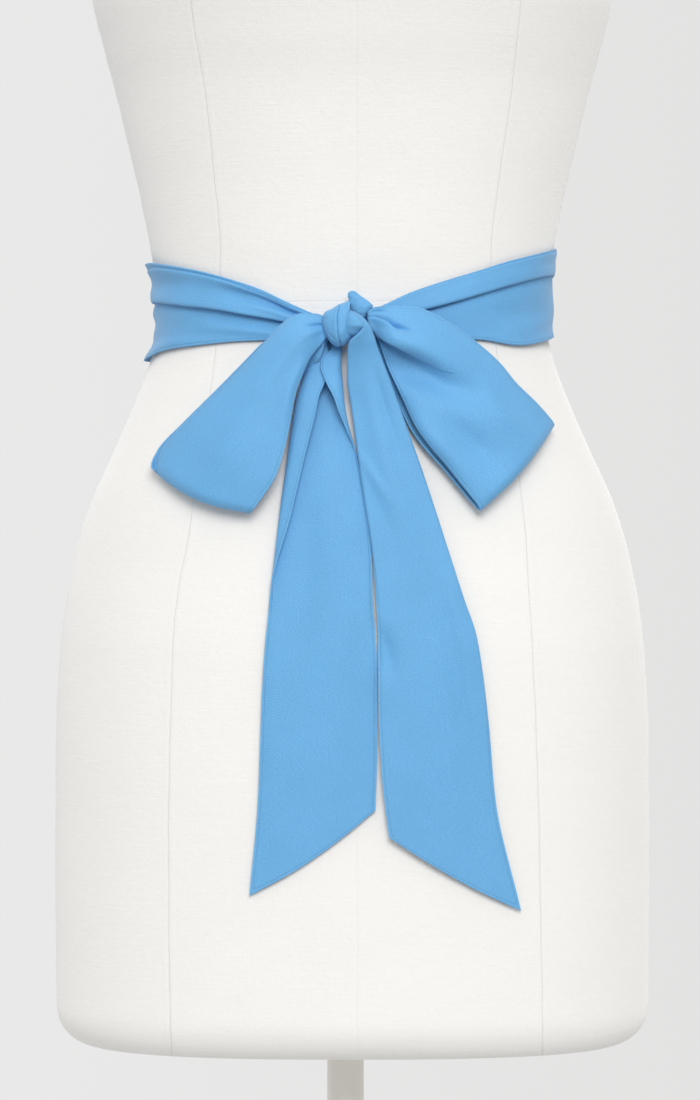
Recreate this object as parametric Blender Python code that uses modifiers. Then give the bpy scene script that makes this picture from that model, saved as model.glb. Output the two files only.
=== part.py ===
"""A sash of soft crepe, tied in a bow round a limbless dress form that stands on a round base.

Run with: blender --background --python part.py

The form's front faces -Y. Z = 0 is the floor, and the Z axis is the pole's. Every size and table
below is in millimetres. The tables use the form's own frame: x from the middle of the body, y
towards its back, and z up from the waist line. Angles round the body are in degrees from the
front, growing towards +X.
"""

import math
from collections import namedtuple

import bmesh
import bpy
import numpy as np

MM = 0.001

# Driving dimensions
WAIST_HEIGHT = 1050.0  # waist line over the floor
BODY_SIDEWAYS = 4.0  # middle of the body from the pole's axis
BODY_BOTTOM = -442.0  # underside of the body, from the waist line
BODY_EDGE_RADIUS = 22.0  # rounding round the underside
NECK_TOP = 446.0
NECK_EDGE_RADIUS = 8.0
SHOULDER_Z = 325.0  # above this the body slopes in to the neck
POLE_DIAMETER = 22.0
BASE_DIAMETER = 430.0
BASE_THICKNESS = 9.0
BASE_RISE = 13.0  # how far the base's top climbs from its rim to its hub
BASE_BEVEL = 2.0
HUB_DIAMETER = 46.0
HUB_HEIGHT = 52.0
SOCKET_FLOOR = 12.0  # the pole's foot over the floor
CLOTH_WALL = 1.2  # two layers of crepe and the air between them
FOLD_RADIUS = 1.6  # of the cloth's middle where it is folded over
LEAST_BEND = 1.5  # length of cloth in a bend that hardly turns
CLEARANCE = 0.3  # between pieces that meet
SHARP_EDGE = 40.0  # degrees between faces that meet at an edge

# Mesh density
BODY_SIDES = 40
BODY_STEP = 26.0
WAIST_STEP = 13.0
SHOULDER_STEP = 10.0
WAIST_REACH = 65.0  # the body's rings are close together this far from the waist line
ROUND_SIDES = 40
RIM_STEPS = 3  # rings in the rounding of the body's bottom and neck
FRONT_STEPS = 16  # along each front stretch of the waist
FRONT_ACROSS = 15
BACK_STEPS = 20
BACK_ACROSS = 8
LOOP_STEPS = 12  # along each layer of a loop
LOOP_TURN_STEPS = 6
LOOP_ACROSS = 10
TAIL_STEPS = 20
EDGE_POINTS = 3  # across a tail's folded edge
BEND_POINTS = 4
MIDDLE_POINTS = 7
BEND_FINENESS = 8  # parts that each of these is summed in

FormRow = namedtuple("FormRow", "z half_width front back squareness")
FORM = (
    FormRow(-442, 177, 114, 118, 2.3),
    FormRow(-330, 178, 116, 123, 2.3),
    FormRow(-258, 177.5, 118, 128, 2.3),
    FormRow(-208, 175, 118, 130, 2.3),
    FormRow(-178, 171.5, 117, 129, 2.25),
    FormRow(-148, 165.5, 115.5, 126, 2.2),
    FormRow(-118, 156, 113, 121, 2.2),
    FormRow(-88, 142.5, 108.5, 112, 2.2),
    FormRow(-58, 129.5, 102, 101, 2.2),
    FormRow(-35, 121, 97.5, 93, 2.2),
    FormRow(-14, 116.5, 95, 89, 2.2),
    FormRow(4, 117, 94.5, 88, 2.2),
    FormRow(32, 121, 97, 90, 2.2),
    FormRow(62, 127, 101, 93, 2.2),
    FormRow(92, 134, 107, 96, 2.2),
    FormRow(122, 141, 115, 99, 2.2),
    FormRow(152, 149, 126, 102, 2.25),
    FormRow(182, 156, 136, 105, 2.3),
    FormRow(205, 158, 138, 107, 2.3),
    FormRow(235, 157, 130, 108, 2.4),
    FormRow(270, 159, 112, 106, 2.6),
    FormRow(300, 163, 94, 101, 2.8),
    FormRow(325, 166, 79, 94, 2.8),
    FormRow(345, 165, 68, 85, 2.6),
    FormRow(360, 150, 60, 77, 2.4),
    FormRow(374, 118, 55, 70, 2.2),
    FormRow(387, 86, 52, 63, 2.1),
    FormRow(399, 66, 50, 57, 2.0),
    FormRow(415, 58, 49, 53, 2.0),
    FormRow(446, 55, 48, 51, 2.0),
)

WaistRow = namedtuple("WaistRow", "angle top bottom lift")
WAIST = (
    WaistRow(-180, 31, -30, 1.9),
    WaistRow(-140, 28, -32, 1.9),
    WaistRow(-102, 24, -34, 2.2),
    WaistRow(-87, 23.5, -34, 2.4),
    WaistRow(-54, 15, -29.5, 2.2),
    WaistRow(-33, 4.5, -27, 2.2),
    WaistRow(-18, -8, -27, 2.4),
    WaistRow(-11, -12.5, -26, 2.6),
    WaistRow(-4, -13.5, -25.5, 2.6),
    WaistRow(7, -9, -26, 2.6),
    WaistRow(20, 1, -27, 2.4),
    WaistRow(42, 14, -26, 2.2),
    WaistRow(55, 21.5, -28.5, 2.2),
    WaistRow(74, 29, -24, 2.2),
    WaistRow(87, 32.5, -20.5, 2.4),
    WaistRow(102, 34, -21, 2.2),
    WaistRow(140, 33, -26, 1.9),
    WaistRow(180, 31, -30, 1.9),
)
# Where each stretch of the waist begins and ends
KNOT_ANGLE = -4.0
SIDE_ANGLE = 101.0

# A soft fold runs from a start, by a middle, to an end. "along" goes down the strip's length and
# "across" from its upper edge (0) to its lower one (1). Both go from 0 to 1.
Fold = namedtuple("Fold", "along_0 across_0 along_1 across_1 along_2 across_2 width height")
WAIST_LEFT_FOLDS = (
    Fold(-0.20, 0.38, 0.45, 0.38, 1.20, 0.26, 0.12, 2.2),
    Fold(-0.20, 0.52, 0.45, 0.51, 1.20, 0.39, 0.05, -1.6),
    Fold(0.05, 0.80, 0.28, 0.72, 0.66, 0.58, 0.09, -1.6),
    Fold(-0.20, 0.62, 0.30, 0.61, 0.80, 0.50, 0.07, 1.2),
    Fold(0.20, 0.90, 0.70, 0.92, 1.30, 0.99, 0.12, 1.8),
)
WAIST_RIGHT_FOLDS = (
    Fold(-0.40, 0.16, 0.55, 0.18, 1.08, 0.16, 0.16, 2.4),
    Fold(-0.40, 0.30, 0.55, 0.29, 1.08, 0.25, 0.06, 1.2),
    Fold(-0.20, 0.42, 0.55, 0.40, 1.08, 0.36, 0.06, -1.0),
    Fold(0.35, 0.90, 0.70, 0.88, 1.05, 0.96, 0.14, 1.6),
)
WAIST_BACK_FOLDS = (
    Fold(0.00, 0.38, 0.30, 0.44, 0.62, 0.36, 0.09, -0.9),
    Fold(0.22, 0.72, 0.50, 0.64, 0.86, 0.70, 0.10, -0.8),
    Fold(0.55, 0.30, 0.80, 0.36, 1.00, 0.34, 0.10, 1.5),
)

# "share" goes from the knot (0) to the far end of the loop (1). The two layers lie "hollow" off
# the loop's middle surface, which is "lift" off the body. The front layer stands out by "arch" half
# way across. The rear layer is moved across by "peek" and sinks by "droop" at its lower edge. Half
# way across, both layers reach "belly" further out along the loop than they do at its edges.
LoopRow = namedtuple(
    "LoopRow", "share upper_x upper_z lower_x lower_z lift hollow arch peek droop belly"
)
LOOP_LEFT = (
    LoopRow(0.00, -16.8, -14.8, -16.8, -22.4, 14.0, 1.4, 0.2, 0.0, 0.0, 0.0),
    LoopRow(0.05, -21.2, -12.7, -19.8, -24.8, 14.0, 1.8, 1.6, 0.0, 0.0, 0.0),
    LoopRow(0.12, -29.5, -12.0, -20.4, -32.0, 14.0, 2.4, 4.0, 2.0, 0.0, 0.0),
    LoopRow(0.25, -41.5, -17.0, -24.5, -42.5, 13.5, 3.4, 4.5, 3.0, 0.5, 0.0),
    LoopRow(0.40, -54.5, -32.0, -32.0, -59.0, 12.5, 4.2, 3.5, 2.0, 0.5, 0.4),
    LoopRow(0.60, -75.0, -54.0, -36.5, -82.0, 11.5, 4.8, 2.5, 0.0, 0.5, 2.0),
    LoopRow(0.80, -96.0, -75.5, -44.5, -104.0, 11.0, 5.2, 2.0, -1.5, 1.0, 4.2),
    LoopRow(1.00, -115.0, -96.5, -59.5, -126.0, 10.5, 5.2, 1.5, -3.0, 1.5, 6.0),
)
LOOP_RIGHT = (
    LoopRow(0.00, 10.2, -13.5, 10.8, -20.0, 8.6, 1.6, 0.5, 0.0, 0.0, 0.0),
    LoopRow(0.12, 19.0, -8.6, 15.2, -28.0, 9.6, 2.6, 2.0, 2.5, 1.0, 0.0),
    LoopRow(0.25, 35.5, -9.0, 20.8, -41.0, 10.8, 3.8, 3.5, 5.0, 3.0, 0.0),
    LoopRow(0.40, 56.0, -17.5, 28.6, -59.0, 11.4, 4.6, 3.5, 5.5, 3.4, 0.2),
    LoopRow(0.55, 72.5, -29.0, 36.8, -78.0, 11.4, 5.0, 3.0, 4.5, 2.5, 0.8),
    LoopRow(0.75, 95.0, -51.5, 52.5, -99.0, 11.5, 5.2, 2.0, 3.0, 1.5, 1.8),
    LoopRow(1.00, 117.5, -75.0, 73.0, -124.5, 12.5, 5.0, 1.5, 2.0, 1.0, 3.0),
)
LOOP_TURN = 0.035  # share of the length in which a loop turns back at its far end
LOOP_LEFT_FOLDS = (
    Fold(0.00, 0.50, 0.12, 0.46, 0.28, 0.40, 0.14, -2.2),
    Fold(0.10, 0.74, 0.45, 0.68, 0.95, 0.62, 0.20, 2.4),
    Fold(0.30, 0.34, 0.65, 0.38, 1.00, 0.42, 0.16, -1.8),
)
LOOP_RIGHT_FOLDS = (
    Fold(0.00, 0.44, 0.13, 0.30, 0.28, 0.22, 0.10, -3.6),
    Fold(0.02, 0.66, 0.33, 0.44, 0.68, 0.26, 0.13, 4.6),
    Fold(0.08, 0.86, 0.36, 0.66, 0.74, 0.50, 0.13, -4.4),
    Fold(0.45, 0.86, 0.75, 0.80, 1.00, 0.76, 0.11, 2.0),
)

# Each row gives the ends of one line across a tail, which sags by "belly" between them. The
# cloth's edges are folded over by the "fold" widths, to the front where the turn (in degrees) is
# above zero and to the rear below it.
TailRow = namedtuple(
    "TailRow",
    "share left_x left_z right_x right_z left_lift right_lift "
    "left_fold left_turn right_fold right_turn belly",
)
TAIL_LEFT = (
    TailRow(0.00, -16.0, -30.2, -5.6, -30.6, 4.6, 4.6, 4.0, 180, 4.0, 180, 0),
    TailRow(0.06, -24.0, -39.0, -5.7, -39.0, 3.4, 4.2, 8.0, 180, 8.0, 180, 0),
    TailRow(0.11, -29.5, -53.0, -5.2, -53.0, 2.0, 2.4, 11.5, 180, 11.0, 180, 0),
    TailRow(0.17, -33.0, -67.0, -4.2, -66.0, 1.9, 2.0, 12.0, 180, 5.0, 175, 0),
    TailRow(0.27, -37.0, -95.0, 2.0, -92.0, 1.9, 1.9, 10.5, 178, 1.5, 70, 0),
    TailRow(0.37, -41.0, -125.0, 8.0, -122.0, 1.9, 1.9, 6.8, 172, 1.2, 0, 0),
    TailRow(0.48, -45.0, -159.0, 11.5, -154.0, 1.9, 1.9, 3.0, 110, 1.2, 0, 0),
    TailRow(0.56, -48.0, -185.0, 13.0, -178.0, 1.9, 1.9, 1.4, 20, 1.2, 0, 0),
    TailRow(0.70, -51.5, -231.0, 14.2, -219.0, 1.9, 1.9, 1.2, 0, 1.2, 0, 0.4),
    TailRow(0.85, -53.8, -291.0, 14.2, -261.0, 1.9, 1.9, 1.2, 0, 1.2, 0, 1.6),
    TailRow(1.00, -58.8, -345.5, 13.2, -296.5, 2.0, 2.0, 1.2, 0, 1.2, 0, 3.8),
)
TAIL_RIGHT = (
    TailRow(0.00, 3.4, -22.0, 7.8, -16.0, 12.2, 12.0, 1.2, 0, 1.2, 0, 0),
    TailRow(0.03, 0.6, -27.8, 10.2, -22.5, 12.2, 12.0, 1.2, 0, 1.2, 0, 0),
    TailRow(0.06, -2.2, -32.4, 13.0, -30.5, 15.5, 15.5, 1.5, -40, 1.5, -60, 0),
    TailRow(0.12, -2.6, -49.0, 20.2, -48.0, 18.5, 18.0, 3.0, -120, 5.0, -160, 0),
    TailRow(0.19, -0.2, -67.0, 26.8, -66.0, 14.5, 13.5, 4.0, -160, 9.0, -175, 0),
    TailRow(0.32, 5.5, -108.0, 41.5, -108.0, 8.4, 7.8, 3.5, -160, 11.0, -178, 0),
    TailRow(0.46, 12.0, -152.5, 56.0, -152.5, 6.4, 6.0, 2.0, -90, 9.0, -178, 0),
    TailRow(0.60, 14.2, -197.0, 71.0, -198.5, 5.6, 5.2, 1.2, -20, 4.5, -160, 0),
    TailRow(0.73, 15.0, -238.0, 77.5, -245.0, 5.4, 4.0, 1.2, 0, 1.6, -60, 0.2),
    TailRow(0.86, 16.8, -276.0, 82.0, -292.0, 5.2, 2.8, 1.2, 0, 1.2, 0, 0.9),
    TailRow(1.00, 21.0, -312.0, 96.8, -355.0, 4.6, 2.4, 1.2, 0, 1.2, 0, 2.4),
)
TAIL_LEFT_FOLDS = (
    Fold(0.18, 0.56, 0.40, 0.62, 0.80, 0.58, 0.20, 1.2),
    Fold(0.40, 0.90, 0.60, 0.88, 0.85, 0.86, 0.16, 1.0),
)
TAIL_RIGHT_FOLDS = (
    Fold(0.06, 0.34, 0.40, 0.42, 0.90, 0.46, 0.22, 1.6),
    Fold(0.30, 0.80, 0.60, 0.84, 0.95, 0.88, 0.16, 1.2),
)

# The knot's pieces of wound cloth, as sections across them. "from_" and "to" are the section's
# ends: down the body for a wrap that runs sideways, and sideways for one that runs down.
Section = namedtuple("Section", "at from_ to front rear")
KNOT_WRAP = (
    Section(-14.6, -23.0, -14.6, -112.5, -105.5),
    Section(-16.4, -24.4, -13.4, -114.0, -104.0),
    Section(-17.2, -24.4, -12.4, -115.4, -102.6),
    Section(-16.6, -25.8, -11.4, -117.2, -101.4),
    Section(-14.6, -27.6, -9.8, -119.2, -100.4),
    Section(-11.6, -29.6, -8.2, -120.8, -100.0),
    Section(-9.2, -30.6, -7.2, -121.2, -100.0),
    Section(-8.5, -30.2, -7.6, -120.2, -100.0),
    Section(-7.8, -31.0, -6.8, -121.2, -100.0),
    Section(-5.4, -31.2, -6.0, -121.2, -100.2),
    Section(-3.4, -30.8, -5.8, -120.4, -100.6),
    Section(-2.4, -30.0, -6.2, -119.0, -101.2),
    Section(-2.1, -28.8, -7.4, -117.4, -102.4),
)
KNOT_CROSS = (
    Section(-8.4, -1.4, -0.4, -116.0, -112.8),
    Section(-9.4, -1.7, 1.2, -118.2, -110.8),
    Section(-11.8, -1.8, 3.2, -120.4, -109.4),
    Section(-15.0, -1.8, 5.6, -121.8, -109.0),
    Section(-18.0, -1.8, 7.4, -122.6, -109.0),
    Section(-20.8, -1.8, 8.0, -122.6, -109.0),
    Section(-23.4, -1.7, 6.8, -121.6, -109.4),
    Section(-25.8, -1.2, 4.6, -119.8, -110.2),
    Section(-27.4, -0.6, 2.2, -117.2, -112.2),
)
KNOT_PEAK = (
    Section(-0.4, -1.2, 0.9, -106.0, -103.6),
    Section(-1.4, -2.1, 2.6, -107.0, -102.2),
    Section(-3.4, -2.6, 5.2, -107.6, -101.4),
    Section(-5.6, -1.7, 8.0, -107.9, -101.0),
    Section(-7.8, -1.7, 10.4, -108.0, -101.0),
    Section(-9.6, -1.4, 10.4, -107.9, -101.0),
    Section(-11.6, 0.6, 8.6, -107.4, -101.4),
    Section(-13.2, 2.6, 6.6, -106.6, -102.4),
)
KNOT_SIDES = 20
KNOT_SQUARENESS = 2.6

# Colour, roughness and metallic value of each finish
CREPE = ("crepe", (0.155, 0.43, 0.80), 0.75, 0.0)
LINEN = ("linen", (0.86, 0.85, 0.83), 0.9, 0.0)
ENAMEL = ("white_enamel", (0.78, 0.78, 0.77), 0.4, 0.0)


def smooth_row(rows, key):
    """The row of a table at a key, on curves through its rows that never overshoot them."""
    table = np.array(rows, dtype=float)
    keys = table[:, 0]
    key = min(max(key, keys[0]), keys[-1])
    slopes = np.diff(table, axis=0) / np.diff(keys)[:, None]
    tangents = np.zeros_like(table)
    same_way = slopes[:-1] * slopes[1:] > 0
    with np.errstate(divide="ignore", invalid="ignore"):
        mean = 2 * slopes[:-1] * slopes[1:] / (slopes[:-1] + slopes[1:])
    tangents[1:-1] = np.where(same_way, mean, 0)
    tangents[0] = slopes[0]
    tangents[-1] = slopes[-1]
    i = min(int(np.searchsorted(keys, key, side="right")) - 1, len(keys) - 2)
    span = keys[i + 1] - keys[i]
    t = (key - keys[i]) / span
    start = (1 + 2 * t) * (1 - t) ** 2 * table[i] + t * (1 - t) ** 2 * span * tangents[i]
    end = t * t * (3 - 2 * t) * table[i + 1] + t * t * (t - 1) * span * tangents[i + 1]
    return type(rows[0])(*(start + end))


def body_radius(angle, z):
    """How far the body reaches from its middle in one direction, at a height."""
    row = smooth_row(FORM, z)
    side = abs(math.sin(math.radians(angle)))
    ahead = math.cos(math.radians(angle))
    depth = row.front if ahead > 0 else row.back
    power = row.squareness
    return ((side / row.half_width) ** power + (abs(ahead) / depth) ** power) ** (-1 / power)


def body_front(x, z):
    """The y of the body's front surface at x and z."""
    row = smooth_row(FORM, z)
    power = row.squareness
    return -row.front * (1 - abs(x / row.half_width) ** power) ** (1 / power)


def fold_height(folds, along, across):
    """How far the folds raise or sink the cloth at a place on it."""
    height = 0.0
    for fold in folds:
        if not fold.along_0 <= along <= fold.along_2:
            continue
        if along < fold.along_1:
            t = (along - fold.along_0) / (fold.along_1 - fold.along_0)
            centre = fold.across_0 + t * (fold.across_1 - fold.across_0)
        else:
            t = (fold.along_2 - along) / (fold.along_2 - fold.along_1)
            centre = fold.across_2 + t * (fold.across_1 - fold.across_2)
        strength = math.sin(0.5 * math.pi * t) ** 2
        height += fold.height * strength * math.exp(-(((across - centre) / fold.width) ** 2))
    return height


def placed(point):
    """A point of the form's own frame, in metres from the foot of the pole."""
    x, y, z = point
    return ((x + BODY_SIDEWAYS) * MM, y * MM, (z + WAIST_HEIGHT) * MM)


def material(finish):
    name, colour, roughness, metallic = finish
    found = bpy.data.materials.get(name)
    if found:
        return found
    made = bpy.data.materials.new(name)
    made.use_nodes = True
    made.diffuse_color = (*colour, 1.0)
    shader = made.node_tree.nodes["Principled BSDF"]
    shader.inputs["Base Color"].default_value = (*colour, 1.0)
    shader.inputs["Roughness"].default_value = roughness
    shader.inputs["Metallic"].default_value = metallic
    return made


def add_object(name, mesh, finish, collection):
    piece = bpy.data.objects.new(name, mesh)
    mesh.materials.append(material(finish))
    collection.objects.link(piece)
    return piece


def loft(name, rings, finish, collection, closed=True):
    """One skin through equal rows of points. A closed loft joins each row's ends and caps itself."""
    count = len(rings[0])
    reach = count if closed else count - 1
    points = [placed(point) for ring in rings for point in ring]
    faces = []
    for i in range(len(rings) - 1):
        for j in range(reach):
            k = (j + 1) % count
            faces.append((i * count + j, i * count + k, (i + 1) * count + k, (i + 1) * count + j))
    if closed:
        last = (len(rings) - 1) * count
        faces.append(tuple(range(count))[::-1])
        faces.append(tuple(range(last, last + count)))
    mesh = bpy.data.meshes.new(name)
    mesh.from_pydata(points, [], faces)
    mesh.shade_smooth()
    return add_object(name, mesh, finish, collection)


def cloth(name, rows, collection):
    """A wall of cloth whose middle is the open skin through the rows."""
    piece = loft(name, rows, CREPE, collection, closed=False)
    wall = piece.modifiers.new("wall", "SOLIDIFY")
    wall.thickness = CLOTH_WALL * MM
    wall.offset = 0.0
    return piece


def body_heights():
    """Heights of the body's rings, and how far each is drawn in by a rounded rim."""
    rings = []
    for step in range(RIM_STEPS + 1):
        turn = 0.5 * math.pi * step / RIM_STEPS
        drawn_in = BODY_EDGE_RADIUS * (1 - math.sin(turn))
        rings.append((BODY_BOTTOM + BODY_EDGE_RADIUS * (1 - math.cos(turn)), drawn_in))
    stretches = (
        (BODY_BOTTOM + BODY_EDGE_RADIUS, -WAIST_REACH, BODY_STEP),
        (-WAIST_REACH, WAIST_REACH, WAIST_STEP),
        (WAIST_REACH, SHOULDER_Z, BODY_STEP),
        (SHOULDER_Z, NECK_TOP - NECK_EDGE_RADIUS, SHOULDER_STEP),
    )
    for low, high, step in stretches:
        for z in np.linspace(low, high, round((high - low) / step) + 1)[1:]:
            rings.append((float(z), 0.0))
    for step in range(1, RIM_STEPS + 1):
        turn = 0.5 * math.pi * step / RIM_STEPS
        drawn_in = NECK_EDGE_RADIUS * (1 - math.cos(turn))
        rings.append((NECK_TOP - NECK_EDGE_RADIUS * (1 - math.sin(turn)), drawn_in))
    return rings


def build_body(collection):
    rings = []
    for z, drawn_in in body_heights():
        ring = []
        for side in range(BODY_SIDES):
            angle = 360.0 * side / BODY_SIDES
            reach = body_radius(angle, z) - drawn_in
            turn = math.radians(angle)
            ring.append((reach * math.sin(turn), -reach * math.cos(turn), z))
        rings.append(ring)
    return loft("form_body", rings, LINEN, collection)


def build_pole(collection):
    top = WAIST_HEIGHT + BODY_BOTTOM - CLEARANCE
    length = (top - SOCKET_FLOOR - CLEARANCE) * MM
    shape = bmesh.new()
    radius = 0.5 * POLE_DIAMETER * MM
    bmesh.ops.create_cone(
        shape,
        cap_ends=True,
        segments=ROUND_SIDES,
        radius1=radius,
        radius2=radius,
        depth=length,
    )
    mesh = bpy.data.meshes.new("form_pole")
    shape.to_mesh(mesh)
    shape.free()
    mesh.shade_smooth()
    mesh.set_sharp_from_angle(angle=math.radians(SHARP_EDGE))
    pole = add_object("form_pole", mesh, ENAMEL, collection)
    pole.location.z = top * MM - 0.5 * length
    return pole


def build_base(collection):
    """A turned foot: a thin disc that climbs to a hub with a socket for the pole."""
    rim = 0.5 * BASE_DIAMETER
    hub = 0.5 * HUB_DIAMETER
    socket = 0.5 * POLE_DIAMETER + CLEARANCE
    slope_top = BASE_THICKNESS + BASE_RISE
    profile = (
        (0.0, SOCKET_FLOOR),
        (socket, SOCKET_FLOOR),
        (socket, HUB_HEIGHT),
        (hub - BASE_BEVEL, HUB_HEIGHT),
        (hub, HUB_HEIGHT - BASE_BEVEL),
        (hub, slope_top + BASE_BEVEL),
        (hub + BASE_BEVEL, slope_top),
        (rim - BASE_BEVEL, BASE_THICKNESS),
        (rim, BASE_THICKNESS - BASE_BEVEL),
        (rim, 0.0),
        (0.0, 0.0),
    )
    mesh = bpy.data.meshes.new("form_base")
    points = [(x * MM, 0.0, z * MM) for x, z in profile]
    mesh.from_pydata(points, [(i, i + 1) for i in range(len(points) - 1)], [])
    base = add_object("form_base", mesh, ENAMEL, collection)
    turned = base.modifiers.new("turned", "SCREW")
    turned.steps = ROUND_SIDES
    turned.render_steps = ROUND_SIDES
    turned.use_merge_vertices = True
    turned.merge_threshold = 0.00001
    turned.use_smooth_shade = False
    return base


def waist_rows(start, end, folds, steps, across_steps):
    """Rows of a stretch round the waist. Its folds run from the start angle to the end one."""
    rows = []
    for i in range(steps + 1):
        along = i / steps
        angle = start + along * (end - start)
        around = (angle + 180.0) % 360.0 - 180.0
        edge = smooth_row(WAIST, around)
        turn = math.radians(angle)
        row = []
        for j in range(across_steps + 1):
            across = j / across_steps
            z = edge.top + across * (edge.bottom - edge.top)
            lift = edge.lift + fold_height(folds, along, across)
            reach = body_radius(angle, z) + max(lift, 0.5 * CLOTH_WALL + 2 * CLEARANCE)
            row.append((reach * math.sin(turn), -reach * math.cos(turn), z))
        rows.append(row)
    return rows


def build_waist(collection):
    seam = math.degrees(0.5 * CLEARANCE / smooth_row(FORM, 0).half_width)
    front = (FRONT_STEPS, FRONT_ACROSS)
    left = waist_rows(KNOT_ANGLE - seam, -SIDE_ANGLE + seam, WAIST_LEFT_FOLDS, *front)
    right = waist_rows(KNOT_ANGLE + seam, SIDE_ANGLE - seam, WAIST_RIGHT_FOLDS, *front)
    rear = (BACK_STEPS, BACK_ACROSS)
    back = waist_rows(SIDE_ANGLE + seam, 360 - SIDE_ANGLE - seam, WAIST_BACK_FOLDS, *rear)
    cloth("sash_waist_left", left[::-1], collection)
    cloth("sash_waist_right", right, collection)
    cloth("sash_waist_back", back, collection)


def loop_path():
    """Places along a loop: out on its front layer (side 1), round its far end, back on side -1."""
    straight = [(1 - LOOP_TURN) * i / LOOP_STEPS for i in range(LOOP_STEPS + 1)]
    out = [(share, 1.0) for share in straight]
    turned = []
    for i in range(1, LOOP_TURN_STEPS):
        angle = math.pi * i / LOOP_TURN_STEPS
        turned.append((1 - LOOP_TURN + LOOP_TURN * math.sin(angle), math.cos(angle)))
    return out + turned + [(share, -1.0) for share in straight[::-1]]


def loop_rows(table, folds):
    rows = []
    for share, side in loop_path():
        at = smooth_row(table, share)
        wide = (at.lower_x - at.upper_x, at.lower_z - at.upper_z)
        width = math.hypot(*wide)
        belly = at.belly / width
        front = 0.5 * (1 + side)
        moved = at.peek * (1 - front) / width
        row = []
        for j in range(LOOP_ACROSS + 1):
            across = j / LOOP_ACROSS
            out = belly * math.sin(math.pi * across)
            x = at.upper_x + (across + moved) * wide[0] + out * math.copysign(wide[1], at.upper_x)
            z = at.upper_z + (across + moved) * wide[1] - out * abs(wide[0])
            raised = at.arch * math.sin(math.pi * across) + fold_height(folds, share, across)
            sunk = at.droop * across**2
            lift = at.lift + side * at.hollow + raised * front - sunk * (1 - front)
            row.append((x, body_front(x, z) - lift, z))
        rows.append(row)
    return rows


def build_loops(collection):
    cloth("sash_loop_left", loop_rows(LOOP_LEFT, LOOP_LEFT_FOLDS), collection)
    cloth("sash_loop_right", loop_rows(LOOP_RIGHT, LOOP_RIGHT_FOLDS)[::-1], collection)


def folded_section(row, width):
    """Points across a strip whose edges are folded over, as (share across, height) pairs."""
    left_turn = math.radians(row.left_turn)
    right_turn = math.radians(row.right_turn)
    left_bend = max(FOLD_RADIUS * abs(left_turn), LEAST_BEND)
    right_bend = max(FOLD_RADIUS * abs(right_turn), LEAST_BEND)
    middle = max(width - 2 * FOLD_RADIUS, LEAST_BEND)
    # Each stretch: its length, its points, and the heading at its start and end
    stretches = (
        (row.left_fold, EDGE_POINTS, -left_turn, -left_turn),
        (left_bend, BEND_POINTS, -left_turn, 0.0),
        (middle, MIDDLE_POINTS, 0.0, 0.0),
        (right_bend, BEND_POINTS, 0.0, right_turn),
        (row.right_fold, EDGE_POINTS, right_turn, right_turn),
    )
    x = height = 0.0
    points = [(x, height)]
    for length, count, start, end in stretches:
        parts = count * BEND_FINENESS
        for i in range(parts):
            heading = start + (end - start) * (i + 0.5) / parts
            x += length / parts * math.cos(heading)
            height += length / parts * math.sin(heading)
            if (i + 1) % BEND_FINENESS == 0:
                points.append((x, height))
    _, ground = points[EDGE_POINTS + BEND_POINTS]
    least = min(x for x, _ in points)
    most = max(x for x, _ in points)
    return [((x - least) / (most - least), height - ground) for x, height in points]


def tail_rows(table, folds):
    rows = []
    for i in range(TAIL_STEPS + 1):
        share = i / TAIL_STEPS
        at = smooth_row(table, share)
        wide = (at.right_x - at.left_x, at.right_z - at.left_z)
        row = []
        for across, height in folded_section(at, math.hypot(*wide)):
            x = at.left_x + across * wide[0]
            z = at.left_z + across * wide[1] - at.belly * math.sin(math.pi * across)
            lift = at.left_lift + across * (at.right_lift - at.left_lift) + height
            lift += fold_height(folds, share, across)
            row.append((x, body_front(x, z) - lift, z))
        rows.append(row)
    return rows


def build_tails(collection):
    cloth("sash_tail_left", tail_rows(TAIL_LEFT, TAIL_LEFT_FOLDS), collection)
    cloth("sash_tail_right", tail_rows(TAIL_RIGHT, TAIL_RIGHT_FOLDS), collection)


def build_wound(name, sections, runs_sideways, collection):
    """A solid stretch of wound cloth through rounded sections."""
    rings = []
    for section in sections:
        ring = []
        for side in range(KNOT_SIDES):
            turn = 2 * math.pi * side / KNOT_SIDES
            deep, wide = (
                math.copysign(abs(value) ** (2 / KNOT_SQUARENESS), value)
                for value in (math.cos(turn), math.sin(turn))
            )
            y = 0.5 * (section.rear * (1 + deep) + section.front * (1 - deep))
            along = 0.5 * (section.to * (1 + wide) + section.from_ * (1 - wide))
            ring.append((section.at, y, along) if runs_sideways else (along, y, section.at))
        rings.append(ring)
    return loft(name, rings, CREPE, collection)


def main():
    for old in list(bpy.data.objects):
        bpy.data.objects.remove(old)
    collection = bpy.data.collections.new("sash_on_dress_form")
    bpy.context.scene.collection.children.link(collection)
    build_body(collection)
    build_pole(collection)
    build_base(collection)
    build_waist(collection)
    build_loops(collection)
    build_tails(collection)
    build_wound("sash_knot_wrap", KNOT_WRAP, True, collection)
    build_wound("sash_knot_cross", KNOT_CROSS, False, collection)
    build_wound("sash_knot_peak", KNOT_PEAK, False, collection)


main()
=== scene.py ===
"""A crepe sash tied in a bow at the waist of a linen-covered dress form, dressed for rendering.

Every cloth table is in millimetres in the form's own frame: x from the middle of the body, y to its
back and z up from the waist line. Angles round the body are in degrees from the front, towards +X.
"""

import math
from collections import namedtuple

import bmesh
import bpy
import numpy as np
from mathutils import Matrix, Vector, noise


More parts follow.
